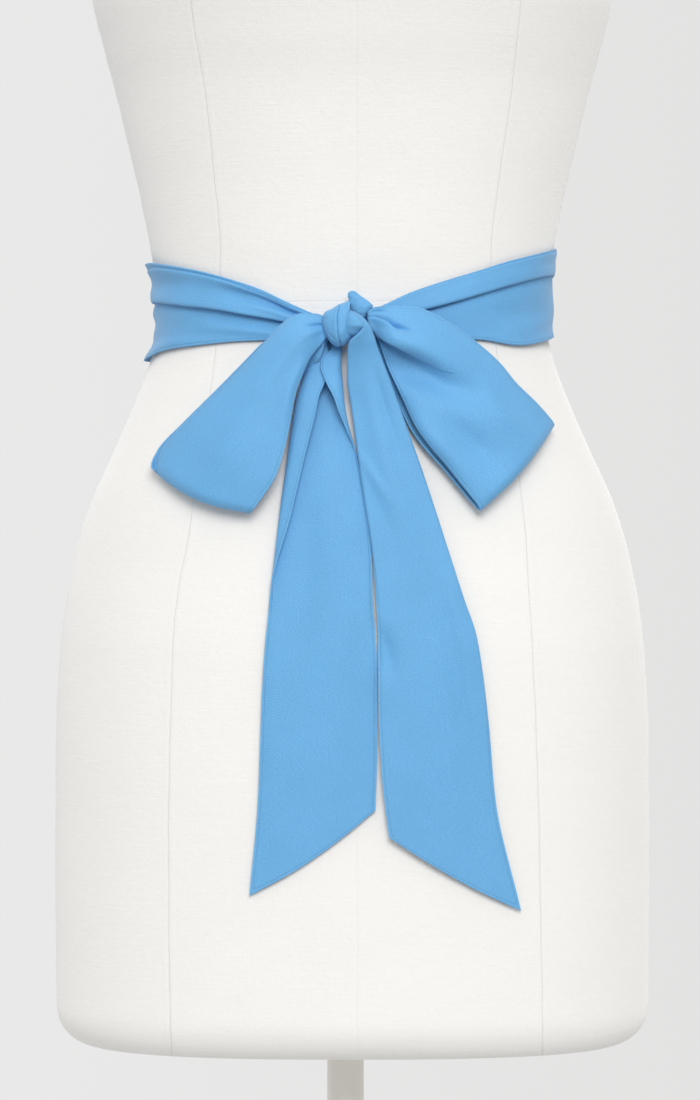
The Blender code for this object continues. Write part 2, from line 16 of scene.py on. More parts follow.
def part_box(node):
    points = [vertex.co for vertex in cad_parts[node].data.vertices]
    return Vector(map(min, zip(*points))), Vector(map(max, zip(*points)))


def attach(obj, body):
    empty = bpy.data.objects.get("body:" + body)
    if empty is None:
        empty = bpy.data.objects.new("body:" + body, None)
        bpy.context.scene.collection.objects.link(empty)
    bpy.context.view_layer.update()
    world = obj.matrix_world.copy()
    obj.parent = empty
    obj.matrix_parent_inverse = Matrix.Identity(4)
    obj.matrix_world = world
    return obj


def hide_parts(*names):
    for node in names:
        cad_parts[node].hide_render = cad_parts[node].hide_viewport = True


bl_info = {
    "name": "Crepe sash on a dress form",
    "version": (1, 0, 0),
    "blender": (4, 5, 0),
    "location": "View3D > Sidebar > Sash",
    "description": "Builds a tied crepe sash, the finishes of its dress form and a pale studio",
    "category": "Object",
}

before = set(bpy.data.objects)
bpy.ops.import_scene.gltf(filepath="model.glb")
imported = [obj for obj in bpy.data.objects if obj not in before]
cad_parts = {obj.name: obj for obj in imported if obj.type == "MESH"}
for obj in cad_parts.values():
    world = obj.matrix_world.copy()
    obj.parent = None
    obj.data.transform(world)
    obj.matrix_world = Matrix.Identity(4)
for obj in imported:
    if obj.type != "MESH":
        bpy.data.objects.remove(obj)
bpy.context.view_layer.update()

MM = 0.001
NECK_TOP = 446.0
WAIST_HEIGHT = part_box("form_body")[1][2] / MM - NECK_TOP
BODY_SIDEWAYS = 4.0
CLOTH_WIDTH = 70.0  # of the sewn strip
SEAM_REACH = 1.7  # the pressed seam allowance ends this far from an edge
LIP_CURL = 0.55  # how far the very edge of a fold turns under
TAIL_NEAREST = 0.8  # the middle of a tail's cloth comes no nearer to the form than this
BAND_NEAREST = 0.9  # and the middle of the waist band's no nearer than this
EVEN = 0.45  # how evenly points are spread between two tucks

# The studio, in metres
CAMERA_DISTANCE = 2.4
CAMERA_SIDEWAYS = 0.0027
CAMERA_HEIGHT = 0.902
VIEW_HEIGHT = 0.66
FLOOR_RADIUS = 1.9
SOFTBOX_AIM = (0.0, 0.0, 1.0)


def rows_of(kind, *rows):
    """A table: plain rows of numbers under the names of their columns."""
    return tuple(kind(*row) for row in rows)


def tuck(upper_over, *rows):
    return Tuck(upper_over, rows_of(TuckRow, *rows))


# --------------------------------------
# Shapes of the form and the cloth on it

# At each height: half the form's width, its depths before and behind the middle, and how square
# its outline is (2 is an ellipse)
FormRow = namedtuple("FormRow", "z half_width front back squareness")
FORM = rows_of(
    FormRow,
    (-442, 177, 114, 118, 2.3),
    (-330, 178, 116, 123, 2.3),
    (-258, 177.5, 118, 128, 2.3),
    (-208, 175, 118, 130, 2.3),
    (-178, 171.5, 117, 129, 2.25),
    (-148, 165.5, 115.5, 126, 2.2),
    (-118, 156, 113, 121, 2.2),
    (-88, 142.5, 108.5, 112, 2.2),
    (-58, 129.5, 102, 101, 2.2),
    (-35, 121, 97.5, 93, 2.2),
    (-14, 116.5, 95, 89, 2.2),
    (4, 117, 94.5, 88, 2.2),
    (32, 121, 97, 90, 2.2),
    (62, 127, 101, 93, 2.2),
    (92, 134, 107, 96, 2.2),
    (122, 141, 115, 99, 2.2),
    (152, 149, 126, 102, 2.25),
    (182, 156, 136, 105, 2.3),
    (205, 158, 138, 107, 2.3),
    (235, 157, 130, 108, 2.4),
    (270, 159, 112, 106, 2.6),
    (300, 163, 94, 101, 2.8),
    (325, 166, 79, 94, 2.8),
    (345, 165, 68, 85, 2.6),
    (360, 150, 60, 77, 2.4),
    (374, 118, 55, 70, 2.2),
    (387, 86, 52, 63, 2.1),
    (399, 66, 50, 57, 2.0),
    (415, 58, 49, 53, 2.0),
    (446, 55, 48, 51, 2.0),
)
BODY_BOTTOM = -442.0
BODY_EDGE_RADIUS = 22.0
NECK_EDGE_RADIUS = 8.0

# A soft crease runs from a start, by a middle, to an end: "along" the strip and "across" it from
# its upper or left edge (0) to the other (1). A trough has a height below zero.
Crease = namedtuple("Crease", "along_0 across_0 along_1 across_1 along_2 across_2 width height")

# A tuck is a crease where one side lies over the other. Its lip stands "lift" out, over "spread"
# of cloth, and reaches "overlap" past the line, while the cloth under it sinks by "sink".
Tuck = namedtuple("Tuck", "upper_over rows")
TuckRow = namedtuple("TuckRow", "along across lift spread overlap sink")

# The pole and the base as (radius, height), drawn up from their undersides
POLE_PROFILE = (
    (10.4, 12.3),
    (11.0, 12.9),
    (11.0, 300.0),
    (11.0, 607.1),
    (10.4, 607.7),
)
BASE_PROFILE = (
    (214.0, 0.0),
    (215.0, 1.0),
    (215.0, 6.6),
    (214.3, 8.2),
    (212.6, 9.1),
    (160.0, 12.9),
    (90.0, 18.0),
    (28.0, 21.8),
    (24.4, 22.6),
    (23.0, 24.4),
    (23.0, 50.0),
    (22.4, 51.4),
    (21.0, 52.0),
    (12.4, 52.0),
    (11.3, 51.0),
    (11.3, 12.0),
)

# At each angle: the band's edges, how far it lies off the form, and how much further each edge does
WaistRow = namedtuple("WaistRow", "angle top bottom lift top_lip bottom_lip")
WAIST = rows_of(
    WaistRow,
    (-180, 31, -30, 1.9, 0.2, 0.3),
    (-140, 28, -32, 1.9, 0.3, 0.4),
    (-102, 24, -34, 2.0, 1.6, 1.4),
    (-90, 23.3, -34.6, 2.0, 2.4, 1.8),
    (-80, 22.8, -33.8, 1.9, 1.6, 1.0),
    (-68, 20.2, -30.8, 1.9, 0.6, 0.2),
    (-54, 15.6, -29.0, 1.9, 0.2, 0.0),
    (-33, 4.5, -27, 2.0, 0.2, 0.0),
    (-18, -8, -27, 2.3, 0.4, 0.0),
    (-11, -12.5, -26, 2.5, 0.2, 0.0),
    (-4, -13.5, -25.5, 2.6, 0.0, 0.0),
    (7, -9, -26, 2.6, 0.0, 0.0),
    (20, 1, -27, 2.4, 0.0, 0.0),
    (42, 14, -26, 2.0, 0.0, 0.2),
    (55, 21.5, -28.5, 1.9, 0.0, 0.6),
    (74, 29, -24, 2.0, -0.6, 1.0),
    (87, 32.5, -20.5, 2.1, -0.8, 1.2),
    (102, 34, -21, 2.0, -0.4, 0.8),
    (140, 33, -26, 1.9, 0.1, 0.3),
    (180, 31, -30, 1.9, 0.2, 0.3),
)
WAIST_TUCKS = (
    # The front layer's edge, with the rear layer a little above it
    tuck(
        False,
        (-180, 0.03, 0.3, 4, 0.1, 0.2),
        (-100, 0.06, 0.6, 4, 0.4, 0.4),
        (-87, 0.075, 0.8, 4, 0.5, 0.5),
        (-70, 0.055, 0.7, 4, 0.5, 0.5),
        (-45, 0.06, 0.9, 4, 0.5, 0.6),
        (-30, 0.1, 1.1, 4, 0.6, 1.0),
        (-20, 0.11, 0.9, 3, 0.5, 0.8),
        (20, 0.03, 0.3, 3, 0.2, 0.2),
        (60, 0.03, 0.4, 4, 0.3, 0.3),
        (180, 0.03, 0.3, 4, 0.1, 0.2),
    ),
    # The long fold that runs from the knot round both sides
    tuck(
        True,
        (-180, 0.44, 0.3, 10, 0.0, 0.3),
        (-130, 0.45, 0.6, 10, 0.0, 0.4),
        (-98, 0.4, 1.0, 9, 0.2, 0.6),
        (-84, 0.405, 1.7, 6, 0.7, 1.3),
        (-76, 0.425, 2.1, 6, 1.1, 1.6),
        (-68, 0.45, 2.4, 6, 1.4, 1.8),
        (-56, 0.481, 2.8, 6.5, 1.6, 1.9),
        (-46, 0.5, 3.0, 7, 1.7, 1.9),
        (-39, 0.525, 3.1, 7, 1.8, 1.9),
        (-33, 0.542, 3.1, 7, 1.8, 1.9),
        (-23, 0.53, 2.8, 8, 1.3, 1.2),
        (-10, 0.45, 1.5, 5, 0.7, 0.6),
        (7, 0.44, 1.2, 5, 0.7, 0.4),
        (16, 0.43, 2.0, 8, 1.3, 0.9),
        (24, 0.42, 2.7, 8, 1.7, 1.3),
        (30, 0.4, 2.8, 8, 1.8, 1.4),
        (40, 0.352, 2.7, 8, 1.8, 1.4),
        (47, 0.317, 2.6, 8, 1.7, 1.4),
        (54, 0.285, 2.5, 8, 1.7, 1.4),
        (63, 0.268, 2.1, 8, 1.5, 1.3),
        (71, 0.272, 1.7, 8, 1.2, 1.2),
        (82, 0.3, 0.9, 8, 0.5, 0.9),
        (98, 0.33, 0.5, 8, 0.0, 0.4),
        (130, 0.37, 0.5, 10, 0.0, 0.4),
        (180, 0.44, 0.3, 10, 0.0, 0.3),
    ),
)
WAIST_CREASES = rows_of(
    Crease,
    (-60, 0.58, -40, 0.665, -14, 0.8, 0.07, -2.2),
    (-66, 0.53, -42, 0.565, -14, 0.62, 0.05, 0.9),
    (-60, 0.72, -38, 0.8, -14, 0.92, 0.08, 1.3),
    (-50, 0.24, -25, 0.22, -8, 0.29, 0.1, -4.2),
    (-56, 0.06, -26, 0.06, -8, 0.09, 0.08, 2.4),
    (-44, 0.36, -25, 0.34, -8, 0.38, 0.07, 1.6),
    (-90, 0.24, -72, 0.22, -48, 0.2, 0.08, -1.1),
    (-104, 0.28, -88, 0.3, -66, 0.36, 0.06, 0.9),
    (-108, 0.62, -90, 0.64, -70, 0.6, 0.07, -1.0),
    (-104, 0.5, -88, 0.52, -72, 0.5, 0.06, 0.6),
    (-100, 0.82, -86, 0.84, -60, 0.86, 0.09, -1.2),
    (-84, 0.95, -64, 0.92, -40, 0.96, 0.05, 0.9),
    (58, 0.13, 78, 0.15, 104, 0.12, 0.05, -0.5),
    (66, 0.66, 90, 0.7, 118, 0.74, 0.18, 1.6),
    (20, 0.2, 46, 0.16, 80, 0.14, 0.09, 0.8),
    (34, 0.58, 56, 0.62, 84, 0.7, 0.1, -0.8),
    (44, 0.86, 66, 0.8, 96, 0.76, 0.08, 1.0),
    (108, 0.16, 126, 0.2, 152, 0.17, 0.08, 1.7),
    (112, 0.72, 138, 0.66, 158, 0.7, 0.11, 2.1),
    (120, 0.84, 140, 0.82, 168, 0.86, 0.07, -1.1),
    (150, 0.3, 163, 0.25, 178, 0.27, 0.07, 1.5),
    (-178, 0.72, -156, 0.76, -128, 0.68, 0.1, 2.2),
    (-172, 0.2, -152, 0.16, -136, 0.19, 0.07, 1.3),
    (-150, 0.56, -128, 0.52, -106, 0.56, 0.08, -1.0),
    (-138, 0.84, -122, 0.8, -104, 0.84, 0.08, 1.8),
)

# "share" goes from the knot (0) to the far end of a loop (1). The two layers lie "hollow" off the
# middle surface, which is "lift" off the body. The front layer stands out by "arch" half way
# across. The rear layer is moved across by "peek" and sinks by "droop" at its lower edge. Both
# reach "belly" further out half way across than they do at their edges. The front layer's upper
# edge stands back by "mouth", and the rear layer's upper edge curls up beside it.
LoopRow = namedtuple(
    "LoopRow", "share upper_x upper_z lower_x lower_z lift hollow arch peek droop belly mouth"
)
LOOP_LEFT = rows_of(
    LoopRow,
    (0.0, -15.4, -14.4, -14.6, -25.4, 14.0, 1.4, 0.2, 0.0, 0.0, 0.0, 0.0),
    (0.05, -21.2, -12.7, -17.4, -29.6, 14.0, 1.8, 1.6, 3.6, 0.0, 0.0, 0.0),
    (0.12, -29.5, -12.6, -21.0, -33.8, 14.0, 2.4, 5.0, 5.4, 0.6, 0.0, 0.0),
    (0.2, -36.6, -15.6, -24.2, -38.2, 13.7, 3.0, 6.5, 5.2, 2.6, 0.0, 0.0),
    (0.27, -42.6, -20.6, -27.0, -43.8, 13.4, 3.5, 7.2, 3.2, 4.6, 0.0, 0.0),
    (0.32, -47.0, -25.6, -29.2, -49.6, 13.0, 3.8, 7.2, 0.0, 4.6, 0.0, 0.0),
    (0.4, -54.0, -33.2, -32.4, -58.8, 12.5, 4.2, 6.8, -1.6, 3.0, 0.4, 0.0),
    (0.6, -75.0, -54.4, -36.7, -82.0, 10.6, 4.6, 5.8, -1.6, 1.0, 2.0, 0.0),
    (0.8, -96.6, -75.2, -43.0, -104.6, 9.4, 4.7, 4.8, -1.6, 1.0, 4.2, 0.0),
    (0.93, -111.0, -89.8, -52.4, -119.6, 7.8, 4.4, 3.6, -1.6, 1.3, 5.4, 1.2),
    (1.0, -117.0, -100.6, -58.0, -126.9, 7.4, 4.2, 2.6, -0.8, 1.4, 5.6, 5.0),
)
LOOP_RIGHT = rows_of(
    LoopRow,
    (0.0, 8.6, -11.2, 9.2, -20.4, 11.6, 1.6, 0.5, 0.0, 0.0, 0.0, 0.0),
    (0.05, 13.4, -8.8, 12.0, -23.6, 11.4, 2.0, 1.2, 0.8, 0.4, 0.0, 0.0),
    (0.12, 20.2, -8.4, 14.9, -29.2, 11.2, 2.6, 3.2, 2.5, 4.2, 0.0, 0.0),
    (0.25, 35.7, -8.8, 20.0, -42.8, 11.2, 3.8, 6.2, 4.4, 5.4, 0.0, 0.0),
    (0.4, 56.0, -17.6, 28.0, -59.8, 10.6, 4.6, 7.0, 4.1, 4.2, 0.2, 0.0),
    (0.55, 72.5, -29.1, 36.6, -78.2, 10.0, 4.8, 6.6, 3.4, 2.4, 0.8, 0.0),
    (0.66, 85.3, -40.2, 45.2, -90.0, 9.6, 4.8, 5.8, 2.9, 0.8, 1.3, 0.0),
    (0.75, 94.8, -51.4, 52.8, -98.8, 9.3, 4.8, 4.8, 2.5, 0.6, 1.8, 0.0),
    (0.88, 107.4, -63.2, 63.0, -111.6, 9.2, 4.8, 3.6, 2.1, 0.5, 2.4, 0.0),
    (1.0, 118.0, -74.8, 73.6, -124.8, 9.6, 4.6, 2.6, 1.5, 0.4, 3.0, 0.0),
)
LOOP_TURN = 0.035  # the share of a loop over which it turns from its front to its rear layer
LIPS_CLOSE = 0.62  # how much of the space between the right loop's lower edges is gone
CLOSING_PACE = 2.2  # how fast it goes, from the knot outwards
MOUTH_REACH = 9.0  # how far across a loop its mouth is felt
CURL_REACH = 2.2  # and how far the curl of its rear edge is
CURL = 1.4  # how high that edge curls, for each millimetre of mouth
LOOP_LEFT_CREASES = rows_of(
    Crease,
    (-0.04, 0.46, 0.055, 0.385, 0.17, 0.34, 0.05, -1.7),
    (-0.04, 0.62, 0.1, 0.58, 0.28, 0.56, 0.08, 0.9),
    (0.12, 0.72, 0.45, 0.64, 0.98, 0.74, 0.15, -1.7),
    (0.16, 0.94, 0.4, 0.88, 0.86, 0.9, 0.08, 1.3),
    (0.06, 0.2, 0.34, 0.16, 0.96, 0.14, 0.11, 1.3),
    (0.44, 0.4, 0.72, 0.44, 1.04, 0.46, 0.1, 1.0),
    (0.6, 0.24, 0.82, 0.28, 1.04, 0.3, 0.08, -0.8),
)
LOOP_RIGHT_TUCKS = (
    # The crease that ends in a pit
    tuck(
        False,
        (0.0, 0.41, 0.7, 2.5, 0.5, 0.9),
        (0.069, 0.4, 1.3, 3.2, 1.2, 1.8),
        (0.125, 0.402, 1.7, 3.6, 1.6, 2.6),
        (0.165, 0.424, 2.2, 3.8, 1.6, 4.0),
        (0.196, 0.452, 1.7, 4, 1.0, 4.0),
        (0.226, 0.448, 0.5, 5, 0.3, 1.8),
        (0.262, 0.412, 0.0, 5, 0.0, 0.4),
        (0.31, 0.38, 0.0, 5, 0.0, 0.0),
        (1.0, 0.2, 0.0, 5, 0.0, 0.0),
    ),
    # The roll that hangs over the lower half
    tuck(
        True,
        (0.0, 0.8, 0.5, 2.5, 0.2, 0.3),
        (0.05, 0.93, 0.9, 3, 0.4, 0.6),
        (0.091, 0.925, 1.6, 4, 0.8, 1.2),
        (0.148, 0.825, 3.5, 6, 2.4, 2.8),
        (0.191, 0.763, 4.4, 7, 3.0, 3.8),
        (0.234, 0.704, 4.8, 8, 3.2, 4.4),
        (0.275, 0.664, 4.4, 9, 2.8, 4.2),
        (0.342, 0.59, 2.6, 11, 1.2, 2.6),
        (0.405, 0.53, 0.9, 12, 0.2, 1.0),
        (0.478, 0.458, 0.1, 12, 0.0, 0.1),
        (0.56, 0.36, 0.0, 10, 0.0, 0.0),
        (1.0, 0.3, 0.0, 10, 0.0, 0.0),
    ),
)
LOOP_RIGHT_CREASES = rows_of(
    Crease,
    (0.15, 0.4, 0.245, 0.405, 0.36, 0.37, 0.05, -2.8),
    (0.08, 1.14, 0.44, 0.67, 0.8, 0.22, 0.15, -9.0),
    (0.06, 1.12, 0.36, 1.1, 0.74, 1.04, 0.3, -3.2),
    (0.04, 0.76, 0.32, 0.465, 0.7, 0.13, 0.12, 3.2),
    (0.2, 0.8, 0.39, 0.6, 0.62, 0.42, 0.085, -4.6),
    (0.5, 0.76, 0.78, 0.67, 1.04, 0.65, 0.12, -5.0),
    (0.58, 0.26, 0.8, 0.31, 1.04, 0.32, 0.11, 3.4),
    (0.34, 0.96, 0.68, 0.92, 1.05, 0.9, 0.075, 2.8),
    (0.18, 0.16, 0.5, 0.1, 0.98, 0.1, 0.11, 1.2),
    (0.4, 0.22, 0.66, 0.18, 0.92, 0.22, 0.07, -0.8),
    (0.0, 0.18, 0.07, 0.16, 0.18, 0.14, 0.06, -1.3),
)

# Each row gives the ends of one line across a tail, which sags by "belly" between them. Its edges
# are folded over by the "fold" widths, to the front where the turn (in degrees) is above zero.
TailRow = namedtuple(
    "TailRow",
    "share left_x left_z right_x right_z left_lift right_lift "
    "left_fold left_turn right_fold right_turn belly",
)
TAIL_LEFT = rows_of(
    TailRow,
    (0.0, -15.0, -25.0, -5.2, -27.0, 3.6, 3.6, 3.0, 170, 4.0, 170, 0),
    (0.015, -18.2, -28.8, -6.0, -29.6, 3.2, 3.2, 4.0, 172, 6.0, 172, 0),
    (0.03, -20.0, -32.4, -6.4, -32.4, 2.8, 2.8, 6.0, 175, 5.6, 175, 0),
    (0.045, -22.0, -36.2, -6.5, -36.0, 2.4, 2.6, 9.0, 178, 9.6, 178, 0),
    (0.06, -23.6, -39.6, -6.5, -39.0, 2.2, 2.4, 11.0, 180, 11.4, 180, 0),
    (0.075, -25.2, -43.2, -6.4, -43.0, 2.0, 2.2, 12.4, 180, 11.9, 180, 0),
    (0.095, -27.6, -48.6, -6.0, -48.6, 1.9, 2.0, 13.0, 180, 10.6, 180, 0),
    (0.11, -29.3, -53.0, -5.6, -53.0, 1.9, 2.0, 13.2, 180, 9.0, 180, 0),
    (0.135, -31.4, -59.8, -5.1, -60.0, 1.9, 1.9, 12.5, 180, 6.0, 178, 0),
    (0.17, -33.2, -69.0, -3.9, -69.0, 1.9, 1.9, 12.4, 180, 3.6, 172, 0),
    (0.22, -35.0, -81.0, -1.5, -80.0, 1.9, 1.9, 11.4, 180, 2.4, 150, 0),
    (0.27, -36.9, -95.0, 2.0, -92.0, 1.9, 1.9, 10.0, 178, 1.6, 80, 0),
    (0.37, -41.0, -125.0, 8.0, -122.0, 1.9, 1.9, 7.4, 172, 1.2, 10, 0),
    (0.48, -45.0, -159.0, 11.2, -154.0, 1.9, 1.9, 3.4, 110, 1.2, 0, 0),
    (0.56, -48.0, -185.0, 11.8, -178.0, 1.9, 1.9, 1.4, 20, 1.2, 0, 0),
    (0.62, -49.8, -204.0, 13.2, -196.0, 1.9, 1.9, 1.2, 0, 1.2, 0, 0),
    (0.7, -51.5, -231.0, 14.2, -219.0, 1.9, 1.9, 1.2, 0, 1.2, 0, 0.4),
    (0.85, -53.8, -291.0, 14.2, -261.0, 1.9, 1.9, 1.2, 0, 1.2, 0, 1.6),
    (1.0, -58.8, -345.5, 13.2, -296.5, 2.0, 2.0, 1.2, 0, 1.2, 0, 3.8),
)
TAIL_RIGHT = rows_of(
    TailRow,
    (0.0, -0.3, -11.7, 0.9, -12.1, 22.0, 22.0, 1.0, 0, 1.0, -60, 0),
    (0.01, 1.6, -13.9, 4.4, -14.3, 25.6, 24.6, 1.0, 0, 1.0, -70, 0),
    (0.022, 4.2, -16.8, 7.4, -17.0, 27.2, 25.2, 1.0, 0, 1.0, -70, 0),
    (0.036, 6.0, -20.3, 9.8, -20.3, 27.4, 25.0, 1.0, 0, 1.2, -70, 0),
    (0.046, 5.2, -22.6, 11.0, -22.6, 27.2, 24.6, 1.4, -70, 1.4, -80, 0),
    (0.058, 2.8, -25.4, 12.0, -25.4, 26.6, 23.6, 2.0, -120, 1.6, -80, 0),
    (0.072, -1.2, -29.0, 13.2, -29.0, 24.4, 22.4, 2.6, -140, 2.0, -80, 0),
    (0.08, -2.1, -31.6, 14.0, -31.6, 22.2, 21.0, 2.8, -140, 2.4, -90, 0),
    (0.092, -2.4, -36.6, 15.8, -36.4, 18.4, 19.2, 3.0, -140, 3.0, -110, 0),
    (0.13, -2.5, -49.0, 20.4, -48.6, 12.4, 16.6, 2.0, -120, 5.0, -160, 0),
    (0.19, -0.2, -67.0, 26.8, -66.4, 8.2, 13.2, 2.0, -120, 9.0, -175, 0),
    (0.32, 5.5, -108.0, 41.5, -108.0, 6.2, 8.2, 2.5, -140, 11.0, -178, 0),
    (0.46, 12.0, -152.5, 56.0, -152.5, 5.6, 5.4, 2.0, -90, 9.0, -178, 0),
    (0.53, 13.6, -175.0, 63.6, -176.0, 5.4, 5.2, 1.4, -40, 7.0, -170, 0),
    (0.6, 14.6, -197.0, 71.0, -198.5, 5.2, 5.0, 1.2, -20, 4.5, -160, 0),
    (0.73, 15.0, -238.0, 77.5, -245.0, 5.0, 4.0, 1.2, 0, 1.6, -60, 0.2),
    (0.86, 16.8, -276.0, 82.0, -292.0, 5.0, 2.8, 1.2, 0, 1.2, 0, 0.9),
    (1.0, 21.0, -312.0, 96.8, -355.0, 4.6, 2.4, 1.2, 0, 1.2, 0, 2.4),
)
# The left tail's folded edges are fullest where they leave the knot. Each swell has the share that
# it is at, its reach, and what it adds to the bends on the left and on the right.
LEFT_TAIL_FULLNESS = 3.9
Swell = namedtuple("Swell", "share reach left right")
SWELLS = rows_of(
    Swell,
    (0.115, 0.08, 0.35, 1.0),
    (0.2, 0.16, 0.55, 0.0),
)
LEFT_BEND = 1.2
RIGHT_BEND = 1.3
TAIL_LEFT_CREASES = rows_of(
    Crease,
    (0.18, 0.56, 0.4, 0.62, 0.8, 0.58, 0.18, 1.2),
    (0.4, 0.9, 0.6, 0.88, 0.85, 0.86, 0.1, 1.4),
    (0.26, 0.3, 0.52, 0.34, 0.86, 0.3, 0.12, -1.1),
    (0.46, 0.1, 0.66, 0.08, 0.96, 0.12, 0.08, 1.2),
    (0.14, 0.84, 0.24, 0.86, 0.38, 0.9, 0.09, -1.4),
)
TAIL_RIGHT_CREASES = rows_of(
    Crease,
    (0.06, 0.4, 0.3, 0.46, 0.62, 0.6, 0.2, 2.2),
    (0.25, -0.04, 0.32, 0.22, 0.38, 0.42, 0.08, 1.3),
    (0.3, -0.04, 0.37, 0.18, 0.44, 0.36, 0.1, -0.6),
    (0.56, 0.0, 0.62, 0.07, 0.7, 0.12, 0.09, -3.6),
    (0.4, 0.84, 0.62, 0.86, 0.92, 0.9, 0.08, 1.5),
    (0.46, 0.74, 0.7, 0.76, 0.96, 0.8, 0.08, -1.2),
    (0.58, 0.34, 0.78, 0.4, 0.98, 0.44, 0.13, 1.1),
    (0.09, 0.74, 0.18, 0.7, 0.34, 0.72, 0.09, -1.1),
)

# The knot's wrap goes round the bow: over it (0 degrees), down the front (90) and back behind.
# Its rows give its x, lowest and highest z, and front and rear y, across from left (0) to right.
WrapRow = namedtuple("WrapRow", "across x low high front rear")
WRAP = rows_of(
    WrapRow,
    (0.0, -16.6, -18.8, -15.6, -113.0, -108.5),
    (0.071, -16.2, -20.6, -13.6, -115.2, -106.5),
    (0.152, -15.4, -23.0, -12.2, -117.0, -104.5),
    (0.233, -14.2, -25.8, -11.4, -118.6, -103.0),
    (0.326, -12.4, -28.6, -10.7, -120.0, -101.5),
    (0.408, -10.6, -30.2, -9.8, -120.9, -100.5),
    (0.492, -8.6, -31.0, -8.6, -121.4, -100.0),
    (0.573, -6.6, -31.1, -7.7, -121.7, -100.0),
    (0.655, -4.6, -30.5, -7.2, -121.8, -100.0),
    (0.741, -2.6, -29.3, -6.8, -121.9, -100.4),
    (0.829, -0.8, -27.6, -6.3, -121.8, -101.0),
    (0.923, 0.8, -26.2, -6.0, -121.4, -102.0),
    (1.0, 1.6, -25.2, -6.4, -120.6, -103.5),
)
WRAP_WIDTH = 24.5
WRAP_SQUARENESS = 2.5
WRAP_MIDDLE = namedtuple("WrapMiddle", "x y z")(-8.4, -110.5, -18.5)
# How far right the wrap's right edge reaches at each place round it
WrapEdge = namedtuple("WrapEdge", "around x")
WRAP_EDGE = rows_of(
    WrapEdge,
    (0, -1.6),
    (45, -1.6),
    (62, -1.7),
    (75, -2.1),
    (87, -2.4),
    (98, -2.5),
    (108, -2.4),
    (118, -2.1),
    (130, -1.3),
    (150, 0.6),
    (180, 1.4),
    (270, 0.2),
    (360, -1.6),
)
WRAP_TUCKS = (
    tuck(
        True,
        (0, 0.56, 0.3, 1.8, 0.3, 0.4),
        (35, 0.54, 0.8, 1.8, 0.8, 0.9),
        (60, 0.49, 1.0, 1.8, 1.1, 1.2),
        (80, 0.475, 1.1, 1.8, 1.2, 1.4),
        (95, 0.485, 1.1, 1.8, 1.2, 1.4),
        (115, 0.5, 1.1, 1.8, 1.2, 1.5),
        (130, 0.52, 1.1, 1.8, 1.2, 1.7),
        (142, 0.535, 0.7, 2.0, 0.7, 1.9),
        (165, 0.55, 0.3, 2.0, 0.3, 0.6),
        (360, 0.56, 0.3, 1.8, 0.3, 0.4),
    ),
)
# These run across the wrap, so their "along" is its across and their "across" is degrees / 360
WRAP_CREASES = rows_of(
    Crease,
    (0.08, 0.375, 0.3, 0.408, 0.52, 0.425, 0.011, -0.8),
    (0.26, 0.325, 0.43, 0.362, 0.53, 0.39, 0.011, -0.9),
    (0.14, 0.34, 0.34, 0.385, 0.52, 0.408, 0.01, 0.4),
    (0.02, 0.19, 0.16, 0.21, 0.34, 0.2, 0.03, -0.5),
    (0.5, 0.29, 0.66, 0.31, 0.84, 0.3, 0.03, 0.4),
)
# A rounded section of the knot: what it is "at", its two ends, and its front and rear y. The
# peak's run across it at heights, from its left (from_) to its right (to).
Section = namedtuple("Section", "at from_ to front rear")
PEAK_WIDTH = 14.0
PEAK_SQUARENESS = 2.2
KNOT_PEAK = rows_of(
    Section,
    (0.4, -0.7, 0.9, -105.4, -104.0),
    (-0.2, -1.7, 2.0, -106.2, -103.2),
    (-1.0, -2.2, 2.9, -106.8, -102.6),
    (-2.4, -2.2, 4.6, -107.3, -102.0),
    (-3.8, -1.8, 6.8, -107.7, -101.6),
    (-5.6, -1.9, 9.2, -108.0, -101.2),
    (-7.4, -1.8, 11.3, -108.4, -101.0),
    (-8.4, -1.6, 11.5, -108.6, -101.0),
    (-9.8, -1.2, 10.4, -108.7, -101.2),
    (-12.0, 0.4, 8.8, -108.6, -101.6),
    (-13.8, 3.0, 7.4, -108.0, -102.2),
    (-15.0, 4.4, 6.4, -107.2, -103.4),
)

# The cloth between the wrap and the right tail, in rows at the tail's own shares. Each bows out
# (below zero) half way across. Down to the tip a row ends where the tail's row begins, and below
# it the cloth turns under.
TIP = 0.036
LobeRow = namedtuple("LobeRow", "share left_x left_z left_y bow right_x right_z right_y")
LOBE = rows_of(
    LobeRow,
    (0.0, -1.4, -10.6, -115.0, -0.4, -0.3, -11.7, -117.2),
    (0.01, -3.6, -13.4, -118.6, -1.8, 1.6, -13.9, -120.6),
    (0.022, -4.6, -16.4, -119.4, -2.6, 4.2, -16.8, -122.2),
    (0.036, -4.9, -19.8, -119.6, -2.8, 6.0, -20.3, -122.6),
    (0.046, -4.5, -22.4, -119.2, -3.0, 6.2, -22.4, -118.8),
    (0.058, -3.6, -24.6, -117.6, -3.0, 5.2, -24.6, -116.6),
    (0.066, -1.9, -25.9, -114.2, -2.4, 4.2, -26.0, -114.8),
    (0.074, -1.5, -26.2, -112.6, -1.2, 3.2, -26.4, -112.8),
)

# --------------------------------------
# Shaping


